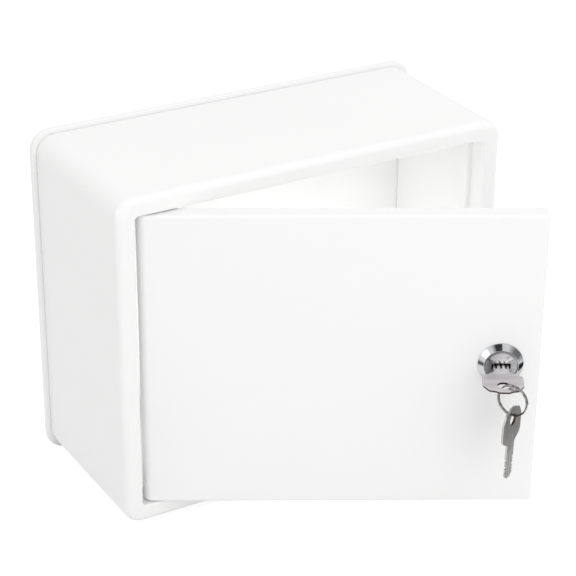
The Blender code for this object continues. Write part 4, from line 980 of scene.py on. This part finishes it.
def groove(side, middle):
    """The cutter of one blade groove, with sloping flanks and a run-out slope towards the bow."""
    surface = side * (KEY_THICKNESS / 2 + SEAT_GAP)
    floor_z = side * (KEY_THICKNESS / 2 - BLADE_GROOVE_DEPTH)
    half = BLADE_GROOVE_WIDTH / 2
    flank = half + SEAT_GAP / 2
    floor_half = half * BLADE_GROOVE_FLOOR_SHARE
    end = BLADE_LENGTH + CUT_MARGIN
    start = BLADE_GROOVE_START - BLADE_GROOVE_RUN_OUT / 2
    rings = [[(middle - flank, start, surface), (middle + flank, start, surface),
              (middle + flank, end, surface), (middle - flank, end, surface)],
             [(middle - floor_half, start + BLADE_GROOVE_RUN_OUT, floor_z),
              (middle + floor_half, start + BLADE_GROOVE_RUN_OUT, floor_z),
              (middle + floor_half, end, floor_z), (middle - floor_half, end, floor_z)]]
    return loft("groove", rings)


def key_blank(name):
    """A flat key about the middle of its bow's base, blade along +Y: outline, cuts, hole and grooves."""
    half = BLADE_WIDTH / 2
    flat = KEY_CUT_FLAT / 2
    slope = (WAFER_PITCH - KEY_CUT_FLAT - SEAT_GAP) / 2
    bow = [
        (BOW_CROWN_END_HALF_WIDTH, -BOW_LENGTH),
        (BOW_CROWN_HALF_WIDTH, -BOW_LENGTH + BOW_CROWN_HEIGHT),
        (BOW_END_SHOULDER, -BOW_LENGTH + BOW_END_SHOULDER_DROP),
        (BOW_HALF_WIDTH, -BOW_LENGTH + BOW_END_LENGTH),
        (BOW_HALF_WIDTH, -BOW_SHOULDER_LENGTH),
        (BOW_SHOULDER_HALF_WIDTH, -BOW_TAPER_LENGTH),
        (half, 0.0)]
    right = [(x, y, radius) for (x, y), radius in zip(bow, BOW_CORNER_RADII)]
    for index, cut in enumerate(KEY_CUT_DEPTHS):
        middle = KEY_HOME_STAND_OUT + WAFER_FIRST + WAFER_PITCH * index
        right += [(half, middle - flat - slope, KEY_CUT_TOP_CORNER),
                  (half - cut, middle - flat, KEY_CUT_FLOOR_CORNER),
                  (half - cut, middle + flat, KEY_CUT_FLOOR_CORNER),
                  (half, middle + flat + slope, KEY_CUT_TOP_CORNER)]
    right += [(half, BLADE_LENGTH - BLADE_TIP_LENGTH, BLADE_TIP_CORNER),
              (BLADE_TIP_WIDTH / 2, BLADE_LENGTH, BLADE_TIP_CORNER)]
    outline = softened(right + [(-x, y, radius) for x, y, radius in reversed(right)], KEY_STEPS)
    hole = circle(BOW_HOLE_RADIUS, SMALL_ROUND_STEPS, (0.0, -BOW_HOLE))
    blank = plate(name, [outline, hole], KEY_THICKNESS, SMALL_EDGE)
    cutters = []
    for side in (-1, 1):
        for number in range(BLADE_GROOVES):
            cutters.append(groove(side, BLADE_GROOVE_PITCH * (number - (BLADE_GROOVES - 1) / 2)))
    return carved(blank, cutters)


def keys():
    """The key in the lock, and the spare that hangs from the ring by its hole."""
    key = moved(key_blank("key"), Matrix.Translation((0, -KEY_PIVOT, 0)))
    add_piece("key", key, KEY_FRAME, "key", ["key_in_lock"], KEY_METAL)
    turn = Matrix.Rotation(-math.pi / 2, 4, "X") @ Matrix.Rotation(math.pi / 2, 4, "Y")
    spare = moved(key_blank("spare"), turn @ Matrix.Translation((0, BOW_HOLE + SPARE_HOLE_BELOW_WIRE, 0)))
    add_piece("second_key", spare, SPARE_FRAME, "spare", ["spare_key"], SPARE_METAL)


def ring():
    """The flat-wire split ring, its section rounded a little at the edges."""
    count = round(RING_TURNS * ROUND_STEPS)
    half_radial, half_axial = RING_WIRE_RADIAL / 2, RING_WIRE_AXIAL / 2
    section = softened([(side_out * half_radial, side_up * half_axial, RING_WIRE_EDGE)
                        for side_out, side_up in CORNER_SIGNS], WIRE_STEPS)
    rows = []
    for index in range(count + 1):
        angle = 2 * math.pi * RING_TURNS * index / count
        rise = RING_PITCH * (index / count - 0.5) * RING_TURNS
        cosine, sine = math.cos(angle), math.sin(angle)
        rows.append([((RING_MEAN_RADIUS + out) * cosine, (RING_MEAN_RADIUS + out) * sine, rise + up)
                     for out, up in section])
    place = Matrix.Translation((0, 0, -RING_DROP)) @ Matrix.Rotation(math.pi / 2, 4, "X")
    mesh = moved(loft("ring", rows), place)
    add_piece("split_ring", mesh, RING_FRAME, "ring", ["key_ring"], RING_STEEL)


def dress(name, surface):
    """Gives a solid that stays in view its material."""
    for entry in frame["nodes"][name].material_slots:
        entry.material = surface


def background_mix(tree, seen, lit):
    """Shows one shader to the camera and in reflections, and another to diffuse light."""
    path = tree.nodes.new("ShaderNodeLightPath").outputs
    direct = maths(tree, "MAXIMUM", path["Is Camera Ray"], path["Is Glossy Ray"])
    mix = tree.nodes.new("ShaderNodeMixShader")
    link(tree, maths(tree, "MAXIMUM", direct, path["Is Transmission Ray"]), mix.inputs[0])
    link(tree, lit, mix.inputs[1])
    link(tree, seen, mix.inputs[2])
    return mix.outputs[0]


def world(level):
    """A white surround of strength 1 to the camera, and of a given level to the object."""
    made = bpy.data.worlds.new("studio")
    bpy.context.scene.world = made
    made.use_nodes = True
    tree = made.node_tree
    seen = tree.nodes["Background"]
    seen.inputs["Color"].default_value = (1.0, 1.0, 1.0, 1.0)
    lit = tree.nodes.new("ShaderNodeBackground")
    lit.inputs["Color"].default_value = (1.0, 1.0, 1.0, 1.0)
    lit.inputs["Strength"].default_value = level
    result = background_mix(tree, seen.outputs[0], lit.outputs[0])
    link(tree, result, tree.nodes["World Output"].inputs["Surface"])


def sheet(name, size):
    """A flat square mesh, twice as wide as its size."""
    def build(work):
        bmesh.ops.create_grid(work, x_segments=1, y_segments=1, size=size)
    return mesh_from(name, build)


def floor():
    """A plain pale floor under the box that keeps its shadow."""
    ground = new_object("floor", sheet("floor", FLOOR_SIZE))
    ground.location.z = FLOOR_Z
    made = bpy.data.materials.new("pale_floor")
    made.use_nodes = True
    tree = made.node_tree
    tree.nodes.remove(tree.nodes["Principled BSDF"])
    glow = tree.nodes.new("ShaderNodeEmission")
    glow.inputs["Strength"].default_value = FLOOR_GLOW
    shade = tree.nodes.new("ShaderNodeBsdfDiffuse")
    shade.inputs["Color"].default_value = (*FLOOR_SHADE, 1.0)
    both = tree.nodes.new("ShaderNodeAddShader")
    link(tree, glow.outputs[0], both.inputs[0])
    link(tree, shade.outputs[0], both.inputs[1])
    bounce = tree.nodes.new("ShaderNodeBsdfDiffuse")
    bounce.inputs["Color"].default_value = (*FLOOR_BOUNCE, 1.0)
    result = background_mix(tree, both.outputs[0], bounce.outputs[0])
    link(tree, result, tree.nodes["Material Output"].inputs["Surface"])
    ground.data.materials.append(made)


def direction(azimuth, elevation):
    """A unit vector from the box towards a lamp, with angles in degrees and azimuth 0 in front."""
    around = math.radians(azimuth)
    above = math.radians(elevation)
    return Vector((math.sin(around) * math.cos(above), -math.cos(around) * math.cos(above),
                   math.sin(above)))


def lamp(name, power, size, place, target):
    """A soft rectangular lamp aimed at a point."""
    data = bpy.data.lights.new(name, "AREA")
    data.energy = power
    data.shape = "RECTANGLE"
    data.size, data.size_y = size
    made = new_object(name, data)
    made.location = place
    made.rotation_euler = (Vector(target) - Vector(place)).to_track_quat("-Z", "Y").to_euler()
    made.visible_glossy = False


def card(name, size, place, target, level, soft):
    """A studio card or softbox with soft edges that shows only in reflections."""
    made = new_object(name, sheet(name, 1.0))
    made.location = place
    made.scale = (size[0] / 2, size[1] / 2, 1.0)
    made.rotation_euler = (Vector(target) - Vector(place)).to_track_quat("-Z", "Y").to_euler()
    surface = bpy.data.materials.new(name)
    surface.use_nodes = True
    tree = surface.node_tree
    tree.nodes.remove(tree.nodes["Principled BSDF"])
    glow = tree.nodes.new("ShaderNodeEmission")
    glow.inputs["Strength"].default_value = level
    clear = tree.nodes.new("ShaderNodeBsdfTransparent")
    from_middle = tree.nodes.new("ShaderNodeVectorMath")
    from_middle.operation = "LENGTH"
    link(tree, tree.nodes.new("ShaderNodeTexCoord").outputs["Object"], from_middle.inputs[0])
    mix = tree.nodes.new("ShaderNodeMixShader")
    link(tree, ramp(tree, from_middle.outputs["Value"], 1.0, 0.0, 1.0 - soft, 1.0), mix.inputs[0])
    link(tree, clear.outputs[0], mix.inputs[1])
    link(tree, glow.outputs[0], mix.inputs[2])
    link(tree, mix.outputs[0], tree.nodes["Material Output"].inputs["Surface"])
    made.data.materials.append(surface)
    made.visible_camera = False
    made.visible_diffuse = False
    made.visible_shadow = False


def camera():
    """The viewpoint of the photograph."""
    around = math.radians(CAMERA_AZIMUTH)
    roll = math.radians(CAMERA_ROLL)
    back = direction(CAMERA_AZIMUTH, CAMERA_ELEVATION)
    right = Vector((math.cos(around), math.sin(around), 0.0))
    up = back.cross(right)
    turned_right = right * math.cos(roll) + up * math.sin(roll)
    turned_up = up * math.cos(roll) - right * math.sin(roll)
    data = bpy.data.cameras.new("camera")
    data.lens = CAMERA_LENS
    data.sensor_width = CAMERA_SENSOR
    made = new_object("camera", data)
    axes = Matrix((turned_right, turned_up, back)).transposed().to_4x4()
    made.matrix_world = Matrix.Translation(CAMERA_PLACE) @ axes
    bpy.context.scene.camera = made


body_shell()
back_plate()
back_plate_screws()
door()
lock_housing()
lock_fixings()
lock_plug()
cam_parts()
keys()
ring()
for wafer_number in range(1, WAFER_COUNT + 1):
    dress(f"tumbler_wafer_{wafer_number}", BRASS)
    dress(f"wafer_spring_{wafer_number}", PIN_STEEL)
dress("retaining_wafer", BRASS)
dress("hinge_pin_upper", PIN_STEEL)
dress("hinge_pin_lower", PIN_STEEL)

world(SURROUND_LEVEL)
floor()
for name, power, width, azimuth, elevation in LAMPS:
    lamp(name, power, (width, width), direction(azimuth, elevation) * LAMP_DISTANCE, BOX_MIDDLE)
lamp("inner_lamp", INNER_LAMP_POWER, INNER_LAMP_SIZE, INNER_LAMP_PLACE, INNER_LAMP_TARGET)
for name, size, azimuth, elevation, distance, level, soft in CARDS:
    card(name, size, LOCK_PLACE + direction(azimuth, elevation) * distance, LOCK_PLACE, level, soft)
camera()
bpy.context.scene.view_settings.view_transform = "Standard"
